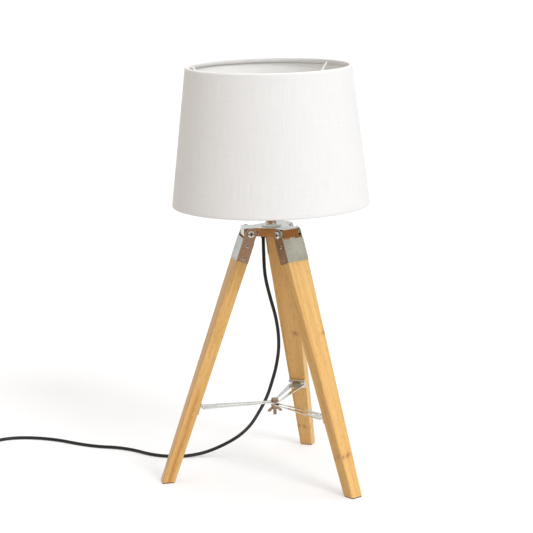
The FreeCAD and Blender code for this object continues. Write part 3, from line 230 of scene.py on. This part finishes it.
steelSet = {"cloud": 38, "cloudSpread": (0.35, 0.7), "hair": (1200, 1200, 90), "depth": 0.00005}
chromeSet = {"colour": srgb(226, 226, 222), "dull": srgb(206, 204, 198), "gloss": (0.09, 0.17),
             "scratch": 0.008}
satinSet = {"colour": srgb(206, 204, 198), "dull": srgb(182, 179, 172), "gloss": (0.22, 0.34),
            "scratch": 0.05}
boltSet = {"colour": srgb(176, 154, 130), "dull": srgb(140, 116, 92), "gloss": (0.16, 0.3),
           "scratch": 0.05}
# the screws' recessShade colour is painted shade, for the shadow in the driven cross and the middle
# of the head
screwSteelSet = {"colour": chromeSet["colour"], "dull": chromeSet["dull"], "cloud": 220,
                 "recessShade": srgb(38, 32, 27), "recessShadeShare": 0.94, "cloudShare": 0.3,
                 "gloss": (0.1, 1.2, 0.09, 0.6)}


def makeSteel(name, c):
    # clouds of handling marks in colour and gloss, with fine hairlines
    f = Finish(name, Metallic=1.0)
    cloud = f.noise(f.place(), steelSet["cloud"], 3)
    hair = f.noise(f.place(steelSet["hair"]), 1.0, 3, 0.6)
    f.give(Base_Color=f.mix(f.span(cloud, *steelSet["cloudSpread"]), c["colour"], c["dull"]),
           Roughness=f.span(cloud, *noiseSpread, *c["gloss"]),
           Normal=f.bump(hair, c["scratch"], steelSet["depth"]))
    return f.material


def makeScrewSteel(c):
    # bright plated heads, with painted shade darkening the driven cross and the middle of each screw
    # head
    f = Finish("screw steel", Metallic=1.0)
    recessShade = f.node("Attribute", {"attribute_name": "recessShade"}, output="Fac")
    cloud = f.noise(f.place(), c["cloud"], 3)
    bright = f.mix(cloud, c["colour"], c["dull"])
    f.give(Base_Color=f.mix(recessShade * c["recessShadeShare"], bright, c["recessShade"]),
           Roughness=f.span(recessShade + cloud * c["cloudShare"], *c["gloss"]))
    return f.material


# cloth: weft and warp noises as scales round the cone, up it and through it, and the bands of
# the weave in radians a metre

clothSet = {"warm": srgb(237, 236, 235), "pale": srgb(243, 242, 241), "bands": 1700,
            "weft": (30, 900, 1), "warp": (900, 22, 1), "weftShare": 0.35, "warpShare": 0.65,
            "slubSpread": (0.38, 0.62), "gloss": (0.8, 0.92), "weftRelief": 0.4, "warpRelief": 0.7,
            "relief": 0.1, "depth": 0.0002}


def makeShadeCloth(c):
    # plain weave: threads round the cone and up it, by the cover's own map of arc length and
    # height, with slubs that run a few centimetres along single threads
    f = Finish("shade cloth", Specular_IOR_Level=0.2, Sheen_Weight=0.08)
    at = f.node("Attribute", {"attribute_name": "clothMap"}, output="Vector")
    weft = f.noise(f.place(c["weft"], at), 1.0, 2)
    warp = f.noise(f.place(c["warp"], at), 1.0, 2)
    # the wave node has 20 radians a metre at a scale of one
    across, along = (f.node("TexWave", {"wave_type": "BANDS", "bands_direction": way},
                            {"Vector": at, "Scale": c["bands"] / 20}) for way in "XY")
    weave = across * 0.5 + along * 0.5
    slubs = f.span(weft * c["weftShare"] + warp * c["warpShare"], *c["slubSpread"])
    height = weave + warp * c["warpRelief"] + weft * c["weftRelief"]
    f.give(Base_Color=f.mix(slubs, c["warm"], c["pale"]),
           Roughness=f.span(weave, 0, 1, *c["gloss"]),
           Normal=f.bump(height, c["relief"], c["depth"]))
    return f.material


def makePlain(name, colour, second, gloss, grain, relief, mottle=(35, 3), **fixed):
    # moulded or painted surface: slow mottle in colour and gloss over a fine grain
    f = Finish(name, **fixed)
    where = f.place()
    cloud = f.noise(where, *mottle)
    fine = f.noise(where, grain, 2)
    f.give(Base_Color=f.mix(cloud, colour, second),
           Roughness=f.span(cloud, *noiseSpread, *gloss),
           Normal=f.bump(fine, relief, 0.0002))
    return f.material


slotFinish = {
    "bamboo": makeBamboo(bambooSet),
    "chrome": makeSteel("chrome", chromeSet),
    "zinc_steel": makeSteel("satin steel", satinSet),
    "shade_fabric": makeShadeCloth(clothSet),
    "shade_liner": makePlain("shade lining", srgb(252, 252, 251), srgb(249, 249, 248),
                             gloss=(0.4, 0.51), grain=400, relief=0.05),
    "white_wire": makePlain("white lacquer", srgb(236, 236, 232), srgb(226, 226, 222),
                            gloss=(0.27, 0.38), grain=500, relief=0.08),
    "holder_white": makePlain("white plastic", srgb(232, 231, 226), srgb(225, 223, 217),
                              gloss=(0.25, 0.36), grain=700, relief=0.06),
    "ceramic_core": makePlain("ceramic", srgb(226, 222, 210), srgb(214, 208, 196),
                              gloss=(0.45, 0.56), grain=900, relief=0.15),
    "brass": makePlain("brass", srgb(206, 168, 96), srgb(190, 148, 78),
                       gloss=(0.2, 0.31), grain=300, relief=0.08, Metallic=1.0),
    "black_plastic": makePlain("black plastic", srgb(22, 22, 23), srgb(32, 32, 33),
                               gloss=(0.37, 0.48), grain=1400, relief=0.3),
    "cord_black": makePlain("cord black", srgb(8, 7, 7), srgb(18, 17, 16),
                            gloss=(0.36, 0.5), grain=900, relief=0.12, mottle=(60, 2)),
    "rubber_pad": makePlain("rubber", srgb(40, 36, 32), srgb(54, 48, 42),
                            gloss=(0.65, 0.76), grain=1100, relief=0.4),
    "tie_black": makePlain("black tie", srgb(20, 20, 21), srgb(34, 34, 35),
                           gloss=(0.55, 0.66), grain=1500, relief=0.35),
}
boltSteel = makeSteel("bolt steel", boltSet)
boltNodes = ("centre_bolt", "bolt_washers", "wing_nut")
nodeSlot = {entry["node"]: entry["material_slot"] for entry in frame["record"]["subparts"]}
bodies = frame["record"]["behaviour"]["bodies"]
nodeBody = {node: body for body, nodes in bodies.items() for node in nodes}
for name, node in frame["nodes"].items():
    node.data.materials.clear()
    node.data.materials.append(boltSteel if name in boltNodes else slotFinish[nodeSlot[name]])
print("finishes made")


# cords, along the routes of the solids

cordSet = {"diameter": 0.005, "steps": 10, "sectionSteps": 5, "order": 3}
coilSet = {"centre": (-0.4415, 0.130), "radius": 0.036, "pitch": 0.0056, "low": 0.0034,
           "step": 0.0056, "turns": 4.5, "pointsPerTurn": 16, "climbTurns": 0.5, "straight": 0.005}

leadRoute = [
    (-0.0109, 0.0064, 0.348), (-0.0109, 0.0064, 0.320), (-0.0092, 0.0082, 0.290),
    (-0.0014, 0.0098, 0.258), (0.0074, 0.0112, 0.226), (0.0114, 0.0138, 0.190),
    (0.0076, 0.0174, 0.157), (0.0010, 0.0222, 0.131), (-0.0042, 0.0340, 0.106),
    (-0.0125, 0.0515, 0.080), (-0.0215, 0.0730, 0.054), (-0.0350, 0.0955, 0.032),
    (-0.0570, 0.1100, 0.0155), (-0.0840, 0.1125, 0.0055), (-0.1110, 0.1118, 0.0025),
    (-0.1380, 0.1165, 0.0025), (-0.1630, 0.1340, 0.0025), (-0.1840, 0.1650, 0.0025),
    (-0.2070, 0.1860, 0.0025), (-0.2350, 0.1985, 0.0025), (-0.2620, 0.2210, 0.0025),
    (-0.2900, 0.2520, 0.0025), (-0.3220, 0.2730, 0.0025), (-0.3510, 0.2820, 0.0025),
    (-0.3735, 0.2795, 0.0025), (-0.3925, 0.2670, 0.0027), (-0.4040, 0.2485, 0.0034),
    (-0.4040, 0.2280, 0.0034),
]
linkRoute = [
    (-0.404, 0.168, 0.0034), (-0.404, 0.157, 0.0034), (-0.4055, 0.146, 0.0034),
    (-0.4055, 0.135, 0.0034),
]
tailRoute = [
    (-0.4775, 0.135, 0.009), (-0.4775, 0.1458, 0.009), (-0.4775, 0.1602, 0.0072),
    (-0.4775, 0.171, 0.0072),
]


def coilRoute(c):
    # radius falls by one pitch a turn to the middle of the winding and grows again on the upper
    # layer, height climbs round that middle by the share 3s^2 - 2s^3; both ends are straight
    middle = c["turns"] / 2
    t = np.linspace(0, c["turns"], int(c["turns"] * c["pointsPerTurn"]) + 1)
    radius = c["radius"] - c["pitch"] * (middle - np.abs(t - middle))
    climb = np.clip((t - middle) / c["climbTurns"] + 0.5, 0, 1)
    height = c["low"] + climb ** 2 * (3 - 2 * climb) * c["step"]
    angle = -2 * math.pi * t
    points = np.stack([c["centre"][0] + radius * np.cos(angle),
                       c["centre"][1] + radius * np.sin(angle), height], -1)
    straight = (0, c["straight"], 0)
    return [tuple(points[0] + straight), *map(tuple, points), tuple(points[-1] + straight)]


def makeCord(name, node, route, c):
    # a smooth spline with the route's points as its control points, given the cord's round section
    curve = bpy.data.curves.new(name, "CURVE")
    curve.dimensions = "3D"
    curve.resolution_u = c["steps"]
    curve.render_resolution_u = c["steps"]
    curve.bevel_depth = c["diameter"] / 2
    curve.bevel_resolution = c["sectionSteps"]
    curve.use_fill_caps = True
    spline = curve.splines.new("NURBS")
    spline.points.add(len(route) - 1)
    for point, place in zip(spline.points, route):
        point.co = (*place, 1)
    spline.order_u = c["order"]
    spline.use_endpoint_u = True
    piece = bpy.data.objects.new(name, curve)
    scene.collection.objects.link(piece)
    curve.materials.append(slotFinish["cord_black"])
    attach(piece, "stand")
    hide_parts(node)
    return piece


coilPoints = coilRoute(coilSet)
cordLead = makeCord("mainsLead", "cord_lead", leadRoute, cordSet)
cordLink = makeCord("mainsLink", "cord_link", linkRoute, cordSet)
cordCoil = makeCord("mainsCoil", "cord_coil", coilPoints, cordSet)
cordTail = makeCord("mainsTail", "cord_tail", tailRoute, cordSet)
print("cords made")


# mesh helpers

def meshFrom(name, points, faces, finish):
    mesh = bpy.data.meshes.new(name)
    mesh.from_pydata(np.asarray(points).tolist(), [], [list(map(int, face)) for face in faces])
    mesh.materials.append(finish)
    mesh.polygons.foreach_set("use_smooth", np.full(len(mesh.polygons), True))
    piece = bpy.data.objects.new(name, mesh)
    scene.collection.objects.link(piece)
    return piece


def gridFaces(rows, columns, wrapRows=False, wrapColumns=False):
    # quads between neighbours of a rows by columns grid, closed round on the named sides
    i, j = np.meshgrid(np.arange(rows if wrapRows else rows - 1),
                       np.arange(columns if wrapColumns else columns - 1), indexing="ij")
    a = i * columns + j
    b = i * columns + (j + 1) % columns
    c = (i + 1) % rows * columns + (j + 1) % columns
    d = (i + 1) % rows * columns + j
    return np.stack([a, b, c, d], -1).reshape(-1, 4)


def vertexValues(mesh, name, kind, values):
    attribute = mesh.attributes.new(name, kind, "POINT")
    attribute.data.foreach_set("vector" if kind == "FLOAT_VECTOR" else "value",
                               np.asarray(values, np.float32).ravel())


def edited(mesh, change):
    shape = bmesh.new()
    shape.from_mesh(mesh)
    change(shape)
    shape.to_mesh(mesh)
    shape.free()


def crease(shape, degrees):
    # shading breaks at the edges that are sharper than this
    for edge in shape.edges:
        edge.smooth = edge.is_manifold and edge.calc_face_angle(0) < math.radians(degrees)


def moved(points, place):
    return points @ np.array(place.to_3x3()).T + np.array(place.translation)


# legs: tapered bamboo bars with rounded edges, seated in their brackets

legSet = {"lean": 19.43, "pivotRadius": 0.0335, "pivotHeight": 0.3583, "thick": 0.0174,
          "headWidth": 0.038, "footWidth": 0.0183, "edge": 0.0014, "edgePoints": 6, "flatPoints": 7,
          "headDrop": 0.010, "bracketLength": 0.042, "bracketGap": 0.0002, "rebate": 0.00125,
          "footHeight": 0.0015, "footFade": 0.03, "rows": 220, "sharp": 35, "nodeHeight": 0.003,
          "nodeEnd": 0.0015, "bow": 0.0012, "bowAcross": 260, "bowThrough": 300}
legTurns = {"left": 180, "front": -60, "back": 60}
# moves each leg to bamboo of its own
legOffsets = {"left": 0.0, "front": 0.21, "back": 0.47}
# heights along each leg, in metres below its pivot, where a bamboo node crosses a strip, with
# the middle and the half width of that strip across the leg
legNodes = {
    "left": [(0.348, -0.001, 0.0055), (0.171, -0.008, 0.008)],
    "front": [(0.322, -0.002, 0.012), (0.148, 0.010, 0.008)],
    "back": [(0.343, 0.0, 0.014), (0.176, -0.006, 0.009)],
}


def legFrame(side):
    # from a leg's own space, its pivot at zero and its length along Z, to the lamp's
    c = legSet
    turn = Matrix.Rotation(math.radians(legTurns[side]), 4, "Z")
    lean = Matrix.Rotation(-math.radians(c["lean"]), 4, "Y")
    return turn @ Matrix.Translation((c["pivotRadius"], 0, c["pivotHeight"])) @ lean


def legSection(c):
    # sx, sy, ox, oy of each point round the section: the signs of its corner, which change evenly
    # along a flat, and the direction outwards from the middle of the corner's rounding
    quarter = np.linspace(0, math.pi / 2, c["edgePoints"])
    flat = np.linspace(0, 1, c["flatPoints"] + 2)[1:-1]
    corners = ((1, 1), (-1, 1), (-1, -1), (1, -1))
    ring = []
    for index, (sx, sy) in enumerate(corners):
        for a in quarter + index * math.pi / 2:
            ring.append((sx, sy, math.cos(a), math.sin(a)))
        nextX, nextY = corners[(index + 1) % 4]
        end = (index + 1) * math.pi / 2
        for t in flat:
            ring.append((sx + (nextX - sx) * t, sy + (nextY - sy) * t, math.cos(end), math.sin(end)))
    return np.array(ring).T


def legSurface(side, c):
    # x = sx (t - e) + ox e and y = sy (w - e) + oy e, with t and w half the thickness and width
    # and e the edge radius; w runs straight from head to foot; in the bracket w and the outer t
    # are less by the rebate; near the foot z follows the floor
    lean = math.radians(c["lean"])
    foot = -(c["pivotHeight"] - c["footHeight"]) / math.cos(lean)
    along = np.linspace(foot, -c["headDrop"], c["rows"])
    share = np.clip((-along - c["bracketLength"]) / (-foot - c["bracketLength"]), 0, 1)
    inBracket = along > -c["bracketLength"] + c["bracketGap"]
    half = c["thick"] / 2
    outer = np.where(inBracket, half - c["rebate"], half)
    halfWidth = c["headWidth"] / 2 - share * (c["headWidth"] - c["footWidth"]) / 2
    halfWidth = np.where(inBracket, c["headWidth"] / 2 - c["rebate"], halfWidth)
    sx, sy, ox, oy = legSection(c)
    edge = c["edge"]
    x = sx[None] * (half - edge) + ox[None] * edge
    x = np.where(x > 0, x * (outer / half)[:, None], x)
    y = sy[None] * (halfWidth[:, None] - edge) + oy[None] * edge
    z = np.repeat(along[:, None], len(sx), 1)
    node = np.zeros_like(z)
    for height, middle, reach in legNodes[side]:
        bow = c["bow"] * np.sin((y - middle) * c["bowAcross"] + x * c["bowThrough"])
        line = np.exp(-((z + height + bow) / c["nodeHeight"]) ** 2)
        within = np.clip((reach - np.abs(y - middle)) / c["nodeEnd"], 0, 1)
        node = np.maximum(node, line * within)
    low = np.clip((along - foot) / c["footFade"], 0, 1)[:, None]
    z = z - (1 - low) * x * math.tan(lean)
    return np.stack([x, y, z], -1).reshape(-1, 3), node.ravel()


def makeLeg(side, c):
    local, node = legSurface(side, c)
    around = len(local) // c["rows"]
    faces = gridFaces(c["rows"], around, wrapColumns=True).tolist()
    faces.append(list(range(around))[::-1])
    faces.append(list(range(len(local) - around, len(local))))
    world = moved(local, legFrame(side))
    piece = meshFrom(f"bambooLeg.{side}", world, faces, slotFinish["bamboo"])
    vertexValues(piece.data, "legSpace", "FLOAT_VECTOR", local + legOffsets[side])
    vertexValues(piece.data, "legNode", "FLOAT", node)
    edited(piece.data, lambda shape: crease(shape, c["sharp"]))
    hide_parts(f"leg_{side}")
    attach(piece, f"leg_{side}")


for side in legTurns:
    makeLeg(side, legSet)
print("legs made")


# shade cover: cloth cone with rolled hems, overlapped along one seam

shadeSet = {"bottom": 0.3971, "height": 0.1964, "lowRadius": 0.140, "topRadius": 0.117,
            "meanRadius": 0.128, "thick": 0.0008, "hem": 0.007, "inset": 0.0048, "roll": 0.0013,
            "rollPoints": 11, "rows": 60, "around": 256, "seam": 128.0, "seamRise": 0.0005,
            "seamHalfWidth": 0.010, "seamPower": 0.25}


def shadeProfile(c):
    # walked from the inner edge of the lower hem, round its roll, up the outside, round the upper
    # roll and down inside: (inset from the outer wall, height)
    w, h, roll, thick, hem = c["inset"], c["height"], c["roll"], c["thick"], c["hem"]
    arc = np.linspace(0, math.pi, c["rollPoints"])
    profile = [(w, hem)]
    profile += [(w / 2 + w / 2 * math.cos(a), roll - roll * math.sin(a)) for a in arc]
    profile += [(0.0, z) for z in np.linspace(roll, h - roll, c["rows"])[1:-1]]
    profile += [(w / 2 - w / 2 * math.cos(a), h - roll + roll * math.sin(a)) for a in arc]
    profile += [(w, h - hem), (w - thick, h - hem), (w - thick, h - roll - thick),
                (thick, h - roll - thick), (thick, roll + thick), (w - thick, roll + thick),
                (w - thick, hem)]
    return np.array(profile).T


def makeShade(c):
    # the profile turned about Z; the outside is lifted along the seam, at a share s of the half
    # width from its middle by rise (1 - s)^power
    inset, height = shadeProfile(c)
    angle = np.linspace(0, 2 * math.pi, c["around"], endpoint=False)
    wall = c["lowRadius"] - (c["lowRadius"] - c["topRadius"]) / c["height"] * height
    away = (angle - math.radians(c["seam"]) + math.pi) % (2 * math.pi) - math.pi
    share = np.abs(away * c["meanRadius"]) / c["seamHalfWidth"]
    lift = c["seamRise"] * np.clip(1 - share, 0, 1) ** c["seamPower"]
    outside = inset < c["thick"] / 2
    radius = (wall - inset)[:, None] + outside[:, None] * lift[None]
    x = radius * np.cos(angle)[None]
    y = radius * np.sin(angle)[None]
    z = np.repeat(height[:, None], len(angle), 1) + c["bottom"]
    points = np.stack([x, y, z], -1).reshape(-1, 3)
    faces = gridFaces(len(inset), len(angle), wrapRows=True, wrapColumns=True)
    piece = meshFrom("shadeCover", points, faces, slotFinish["shade_fabric"])
    arcLength = np.repeat((angle * c["meanRadius"])[None], len(inset), 0)
    vertexValues(piece.data, "clothMap", "FLOAT_VECTOR",
                 np.stack([arcLength, z, np.zeros_like(z)], -1).reshape(-1, 3))
    edited(piece.data, lambda shape: bmesh.ops.recalc_face_normals(shape, faces=shape.faces))
    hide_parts("shade_cover")
    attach(piece, "shade")


makeShade(shadeSet)
print("shade made")


# pressed metal and moulded pieces with their edges rounded: the width and the steps of each edge

softSet = {"merge": 2e-6, "flat": 0.6, "sharp": 32}
softEdges = {"hub_plate": (0.0009, 3), "stem_collar": (0.0003, 2), "hub_nut": (0.0003, 2),
             "cord_grip": (0.0008, 3), "holder_cap": (0.0006, 3), "holder_shell": (0.0006, 3),
             "shade_clamp_ring": (0.0005, 2), "centre_bolt": (0.0003, 2), "wing_nut": (0.0006, 3),
             "switch_base": (0.0012, 3), "switch_cover": (0.0016, 3), "switch_rocker": (0.0005, 2),
             "plug_body": (0.0018, 3), "cord_tie": (0.0002, 2)}
sideEdges = {"bracket": ("leg_bracket", 0.0005, 3), "bar": ("spreader_bar", 0.0003, 2),
             "leaf": ("hinge_leaf", 0.0002, 2), "pad": ("foot_pad", 0.0003, 2)}


def softened(name, node, width, segments, c):
    # a CAD piece's own mesh, its triangles joined to flat faces and its edges rounded off
    def joined(shape):
        bmesh.ops.remove_doubles(shape, verts=shape.verts, dist=c["merge"])
        bmesh.ops.dissolve_limit(shape, angle_limit=math.radians(c["flat"]), verts=shape.verts,
                                 edges=shape.edges)
        for face in shape.faces:
            face.smooth = True
        crease(shape, c["sharp"])

    mesh = frame["nodes"][node].data.copy()
    mesh.name = name
    edited(mesh, joined)
    piece = bpy.data.objects.new(name, mesh)
    scene.collection.objects.link(piece)
    bevel = piece.modifiers.new("rounded edges", "BEVEL")
    bevel.width = width
    bevel.segments = segments
    bevel.limit_method = "ANGLE"
    bevel.angle_limit = math.radians(c["sharp"])
    bevel.harden_normals = True
    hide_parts(node)
    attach(piece, nodeBody[node])


for node, (width, segments) in softEdges.items():
    softened(f"soft.{node}", node, width, segments, softSet)
for side in legTurns:
    for short, (node, width, segments) in sideEdges.items():
        softened(f"soft.{short}.{side}", f"{node}_{side}", width, segments, softSet)
print("metal and plastic softened")


# cross-recessed screws in the brackets and hinge leaves, and the pivots' pins; a cross is given
# in shares of its head's radius, and its reach down the head in shares of its depth

crossSet = {"half": 0.14, "reach": 0.6, "soft": 0.12, "down": 1.5, "around": 48, "headPoints": 15,
            "rimShare": 0.3, "merge": 1e-6, "sliver": 1e-7, "sharp": 50}
# in screwSet, dark is the strength of the painted shade over the middle of a screw head
screwSet = {"head": 0.0022, "rise": 0.0006, "sink": 0.0011, "shank": 0.0013, "seen": 0.004,
            "crossDepth": 0.00045, "dark": 0.8, "paintedShadeReach": 0.8, "paintedShadeSoft": 0.15,
            "drops": (0.0175, 0.0355), "halfSpan": 0.0192, "leafDrop": 0.2658, "leafFace": 0.0099,
            "leafHalfPitch": 0.0075, "twist": 1.5}
pinSet = {"head": 0.005, "rise": 0.0026, "seat": 0.0195, "barrel": 0.003, "crossDepth": 0.001,
          "twist": 0.5}


def headProfile(seat, radius, rise):
    # radius and height from the middle of a domed head out to its rim: a half ellipse on a
    # straight rim
    r = np.linspace(0, radius, crossSet["headPoints"])
    rim = crossSet["rimShare"]
    return r, seat + rise * (rim + (1 - rim) * np.sqrt(np.maximum(1 - (r / radius) ** 2, 0)))


def turnedWithCross(r, h, headRadius, depth, c):
    # the profile turned about Z; where it faces up or down within the head it is pressed in by a
    # cross of two arms, each a strip whose sides fall off smoothly
    angle = np.linspace(0, 2 * math.pi, c["around"], endpoint=False)
    u = r[:, None] * np.cos(angle)
    v = r[:, None] * np.sin(angle)
    half, reach, soft = (headRadius * c[key] for key in ("half", "reach", "soft"))

    def arm(a, b):
        wide = np.clip((half - np.abs(b)) / soft + 0.5, 0, 1)
        return wide * np.clip((reach - np.abs(a)) / soft + 0.5, 0, 1)

    top = np.abs(h) > np.abs(h).max() - depth * c["down"]
    cross = np.maximum(arm(u, v), arm(v, u)) * top[:, None]
    z = h[:, None] - np.sign(h)[:, None] * depth * cross
    faces = gridFaces(len(r), c["around"], wrapColumns=True)
    # the cross's share at each point is returned too, for the painted shade in the cross
    return np.stack([u, v, z], -1).reshape(-1, 3), cross.ravel(), faces


def screwShape(c):
    # domed head, countersunk side and the start of the shank; painted shade darkens the middle of the
    # head, leaving its rim bright
    r, h = headProfile(0, c["head"], c["rise"])
    r = np.append(r, [c["head"], c["shank"], c["shank"], 0])
    h = np.append(h, [0, -c["sink"], -c["seen"], -c["seen"]])
    points, cross, faces = turnedWithCross(r, h, c["head"], c["crossDepth"], crossSet)
    share = np.hypot(points[:, 0], points[:, 1]) / c["head"]
    # painted shade over the head's middle, fading out towards the rim, joined with the cross's
    # painted shade on the top
    dark = c["dark"] * np.clip((c["paintedShadeReach"] - share) / c["paintedShadeSoft"], 0, 1)
    return points, np.maximum(cross, dark) * (points[:, 2] > 0), faces


def pinShape(c):
    # a barrel between two domed heads
    r, h = headProfile(c["seat"], c["head"], c["rise"])
    r = np.append(r, [c["head"], c["barrel"]])
    h = np.append(h, [c["seat"], c["seat"]])
    return turnedWithCross(np.append(r, r[::-1]), np.append(h, -h[::-1]), c["head"],
                           c["crossDepth"], crossSet)


def manyOf(name, shape, places, nodes, body, c):
    # one mesh of the shape at each place, its poles closed and its faces turned outwards
    def closed(mesh):
        bmesh.ops.remove_doubles(mesh, verts=mesh.verts, dist=c["merge"])
        bmesh.ops.dissolve_degenerate(mesh, dist=c["sliver"], edges=mesh.edges)
        bmesh.ops.recalc_face_normals(mesh, faces=mesh.faces)
        crease(mesh, c["sharp"])

    points, cross, faces = shape
    allPoints = np.concatenate([moved(points, place) for place in places])
    allFaces = np.concatenate([faces + k * len(points) for k in range(len(places))])
    piece = meshFrom(name, allPoints, allFaces, screwSteel)
    # each point's painted shade, for the cross and the head's middle, goes to the finish as the
    # recessShade attribute
    vertexValues(piece.data, "recessShade", "FLOAT", np.tile(cross, len(places)))
    edited(piece.data, closed)
    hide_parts(*nodes)
    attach(piece, body)


def facing(place, spot, axis, turn, twist):
    # a screw's place in the leg: its axis turned from Z, and its cross twisted as it was left
    return (place @ Matrix.Translation(spot) @ Matrix.Rotation(math.radians(turn), 4, axis)
            @ Matrix.Rotation(twist, 4, "Z"))


def screwPlaces(side, c):
    # two screws in each side of the bracket, then two in the hinge leaf
    place = legFrame(side)
    twist = iter(np.random.default_rng(legTurns[side] + 360).uniform(0, c["twist"], 6))
    inBracket = [facing(place, (0, c["halfSpan"] * sign, -drop), "X", -90 * sign, next(twist))
                 for drop in c["drops"] for sign in (1, -1)]
    inLeaf = [facing(place, (-c["leafFace"], c["leafHalfPitch"] * sign, -c["leafDrop"]), "Y", -90,
                     next(twist)) for sign in (1, -1)]
    return inBracket + inLeaf


def pinPlace(turn, c):
    # on a pivot, with a twist of its own in each lobe
    return (Matrix.Rotation(math.radians(turn), 4, "Z")
            @ Matrix.Translation((legSet["pivotRadius"], 0, legSet["pivotHeight"]))
            @ Matrix.Rotation(math.radians(90), 4, "X") @ Matrix.Rotation(c["twist"] + turn, 4, "Z"))


screwSteel = makeScrewSteel(screwSteelSet)
for side in legTurns:
    manyOf(f"legScrews.{side}", screwShape(screwSet), screwPlaces(side, screwSet),
           [f"leg_screws_{side}"], f"leg_{side}", crossSet)
manyOf("pivotPins", pinShape(pinSet), [pinPlace(turn, pinSet) for turn in legTurns.values()],
       ["pivot_screws", "pivot_sleeves"], "stand", crossSet)
print("screws made")


# floor, backdrop and lights; an edge is where its share begins and where it is full

floorSet = {"shade": 0.62, "glow": 0.35, "reach": 30}
skySet = {"left": (0.30, 0.17, 0.05), "middle": (0.41, 0.41, 0.41), "right": (0.50, 0.51, 0.52),
          "top": (1.35, 1.35, 1.35), "middleAt": 0.38, "topEdge": (0.55, 0.85)}
roomSet = {"radius": 0.95, "low": 0.002, "high": 1.6, "around": 64, "patch": (1.6, 1.6, 5.0),
           "wood": [(0.3, srgb(92, 56, 28)), (0.5, srgb(166, 110, 60)), (0.7, srgb(206, 146, 88))],
           "wall": [(0.0, srgb(150, 140, 122)), (0.2, srgb(196, 198, 190)),
                    (0.45, srgb(216, 220, 212)), (1.0, srgb(248, 238, 216))],
           "wallHeights": (0.4, 0.8), "behind": srgb(226, 229, 228), "frontEdge": (-0.45, -0.15),
           "woodEdge": (0.42, 0.34)}
# turn from the camera's side of the lamp, height angle, strength, softness, all angles in degrees
lampSet = {"key": (36, 38, 1.31, 20), "side": (86, 34, 0.26, 40)}


def seenRay(f):
    # 1 for what the camera sees, straight or in metal or through glass
    seen = f.node("LightPath", output="Is Camera Ray")
    for way in ("Is Glossy Ray", "Is Transmission Ray"):
        seen = seen.maths("MAXIMUM", f.node("LightPath", output=way))
    return seen


def makeFloor(c):
    # white where the camera sees it lit, with the object's shadows left in it
    f = Finish("white floor", Roughness=0.9, Specular_IOR_Level=0.0, Emission_Strength=1.0)
    f.give(Base_Color=(c["shade"],) * 3,
           Emission_Color=f.mix(seenRay(f), (0, 0, 0), (c["glow"],) * 3))
    corners = [(c["reach"] * x, c["reach"] * y, 0) for x, y in ((-1, -1), (1, -1), (1, 1), (-1, 1))]
    meshFrom("floor", corners, [(0, 1, 2, 3)], f.material)


def makeSky(c):
    # plain white to the camera; its light is brightest from above, a little warmer from the left
    world = bpy.data.worlds.new("studio")
    scene.world = world
    world.use_nodes = True
    f = Nodes(world.node_tree, "Background")
    ray = f.node("TexCoord", output="Generated")
    toRight = f.node("VectorMath", {"operation": "DOT_PRODUCT"},
                     {0: ray, 1: tuple(cameraTurn @ Vector((1, 0, 0)))}, output="Value")
    up = f.node("SeparateXYZ", {}, {"Vector": ray}, output="Z")
    light = f.ramp(f.span(toRight, -1, 1),
                   [(0.0, c["left"]), (c["middleAt"], c["middle"]), (1.0, c["right"])])
    light = f.mix(f.span(up, *c["topEdge"]), light, c["top"])
    f.give(Color=f.mix(seenRay(f), light, (1, 1, 1)))


def makeRoom(c):
    # what polished metal shows of a room: warm wood tones low down on the camera's side, a pale
    # wall behind and above; only reflections see it
    f = Finish("room seen in metal", Roughness=1.0, Specular_IOR_Level=0.0, Emission_Strength=1.0)
    at = f.node("TexCoord", output="Object")
    height = f.node("SeparateXYZ", {}, {"Vector": at}, output="Z")
    forward = f.node("VectorMath", {"operation": "DOT_PRODUCT"},
                     {0: at, 1: tuple(cameraTurn @ Vector((0, -1, 0)))}, output="Value")
    front = f.span(forward, *c["frontEdge"])
    low = f.ramp(f.noise(f.place(c["patch"]), 1.0, 2), c["wood"])
    wall = f.ramp(f.span(height, *c["wallHeights"]), c["wall"])
    back = f.mix(front, c["behind"], wall)
    f.give(Base_Color=(0, 0, 0),
           Emission_Color=f.mix(front * f.span(height, *c["woodEdge"]), back, low))
    angle = np.linspace(0, 2 * math.pi, c["around"], endpoint=False)
    rings = np.stack([np.stack([c["radius"] * np.cos(angle), c["radius"] * np.sin(angle),
                                np.full(len(angle), z)], -1) for z in (c["low"], c["high"])])
    faces = gridFaces(2, len(angle), wrapColumns=True)
    room = meshFrom("room", rings.reshape(-1, 3), faces, f.material)
    room.visible_camera = False
    room.visible_diffuse = False
    room.visible_shadow = False
    room.visible_transmission = False
    room.visible_volume_scatter = False


def makeLamp(name, turn, rise, strength, softness):
    data = bpy.data.lights.new(name, "SUN")
    data.energy = strength
    data.angle = math.radians(softness)
    lamp = bpy.data.objects.new(name, data)
    scene.collection.objects.link(lamp)
    azimuth = math.radians(cameraSet["turn"] - 90 + turn)
    up = math.radians(rise)
    away = Vector((math.cos(azimuth) * math.cos(up), math.sin(azimuth) * math.cos(up), math.sin(up)))
    lamp.rotation_euler = away.to_track_quat("Z", "Y").to_euler()


makeFloor(floorSet)
makeSky(skySet)
makeRoom(roomSet)
for name, settings in lampSet.items():
    makeLamp(name, *settings)
print("studio made")
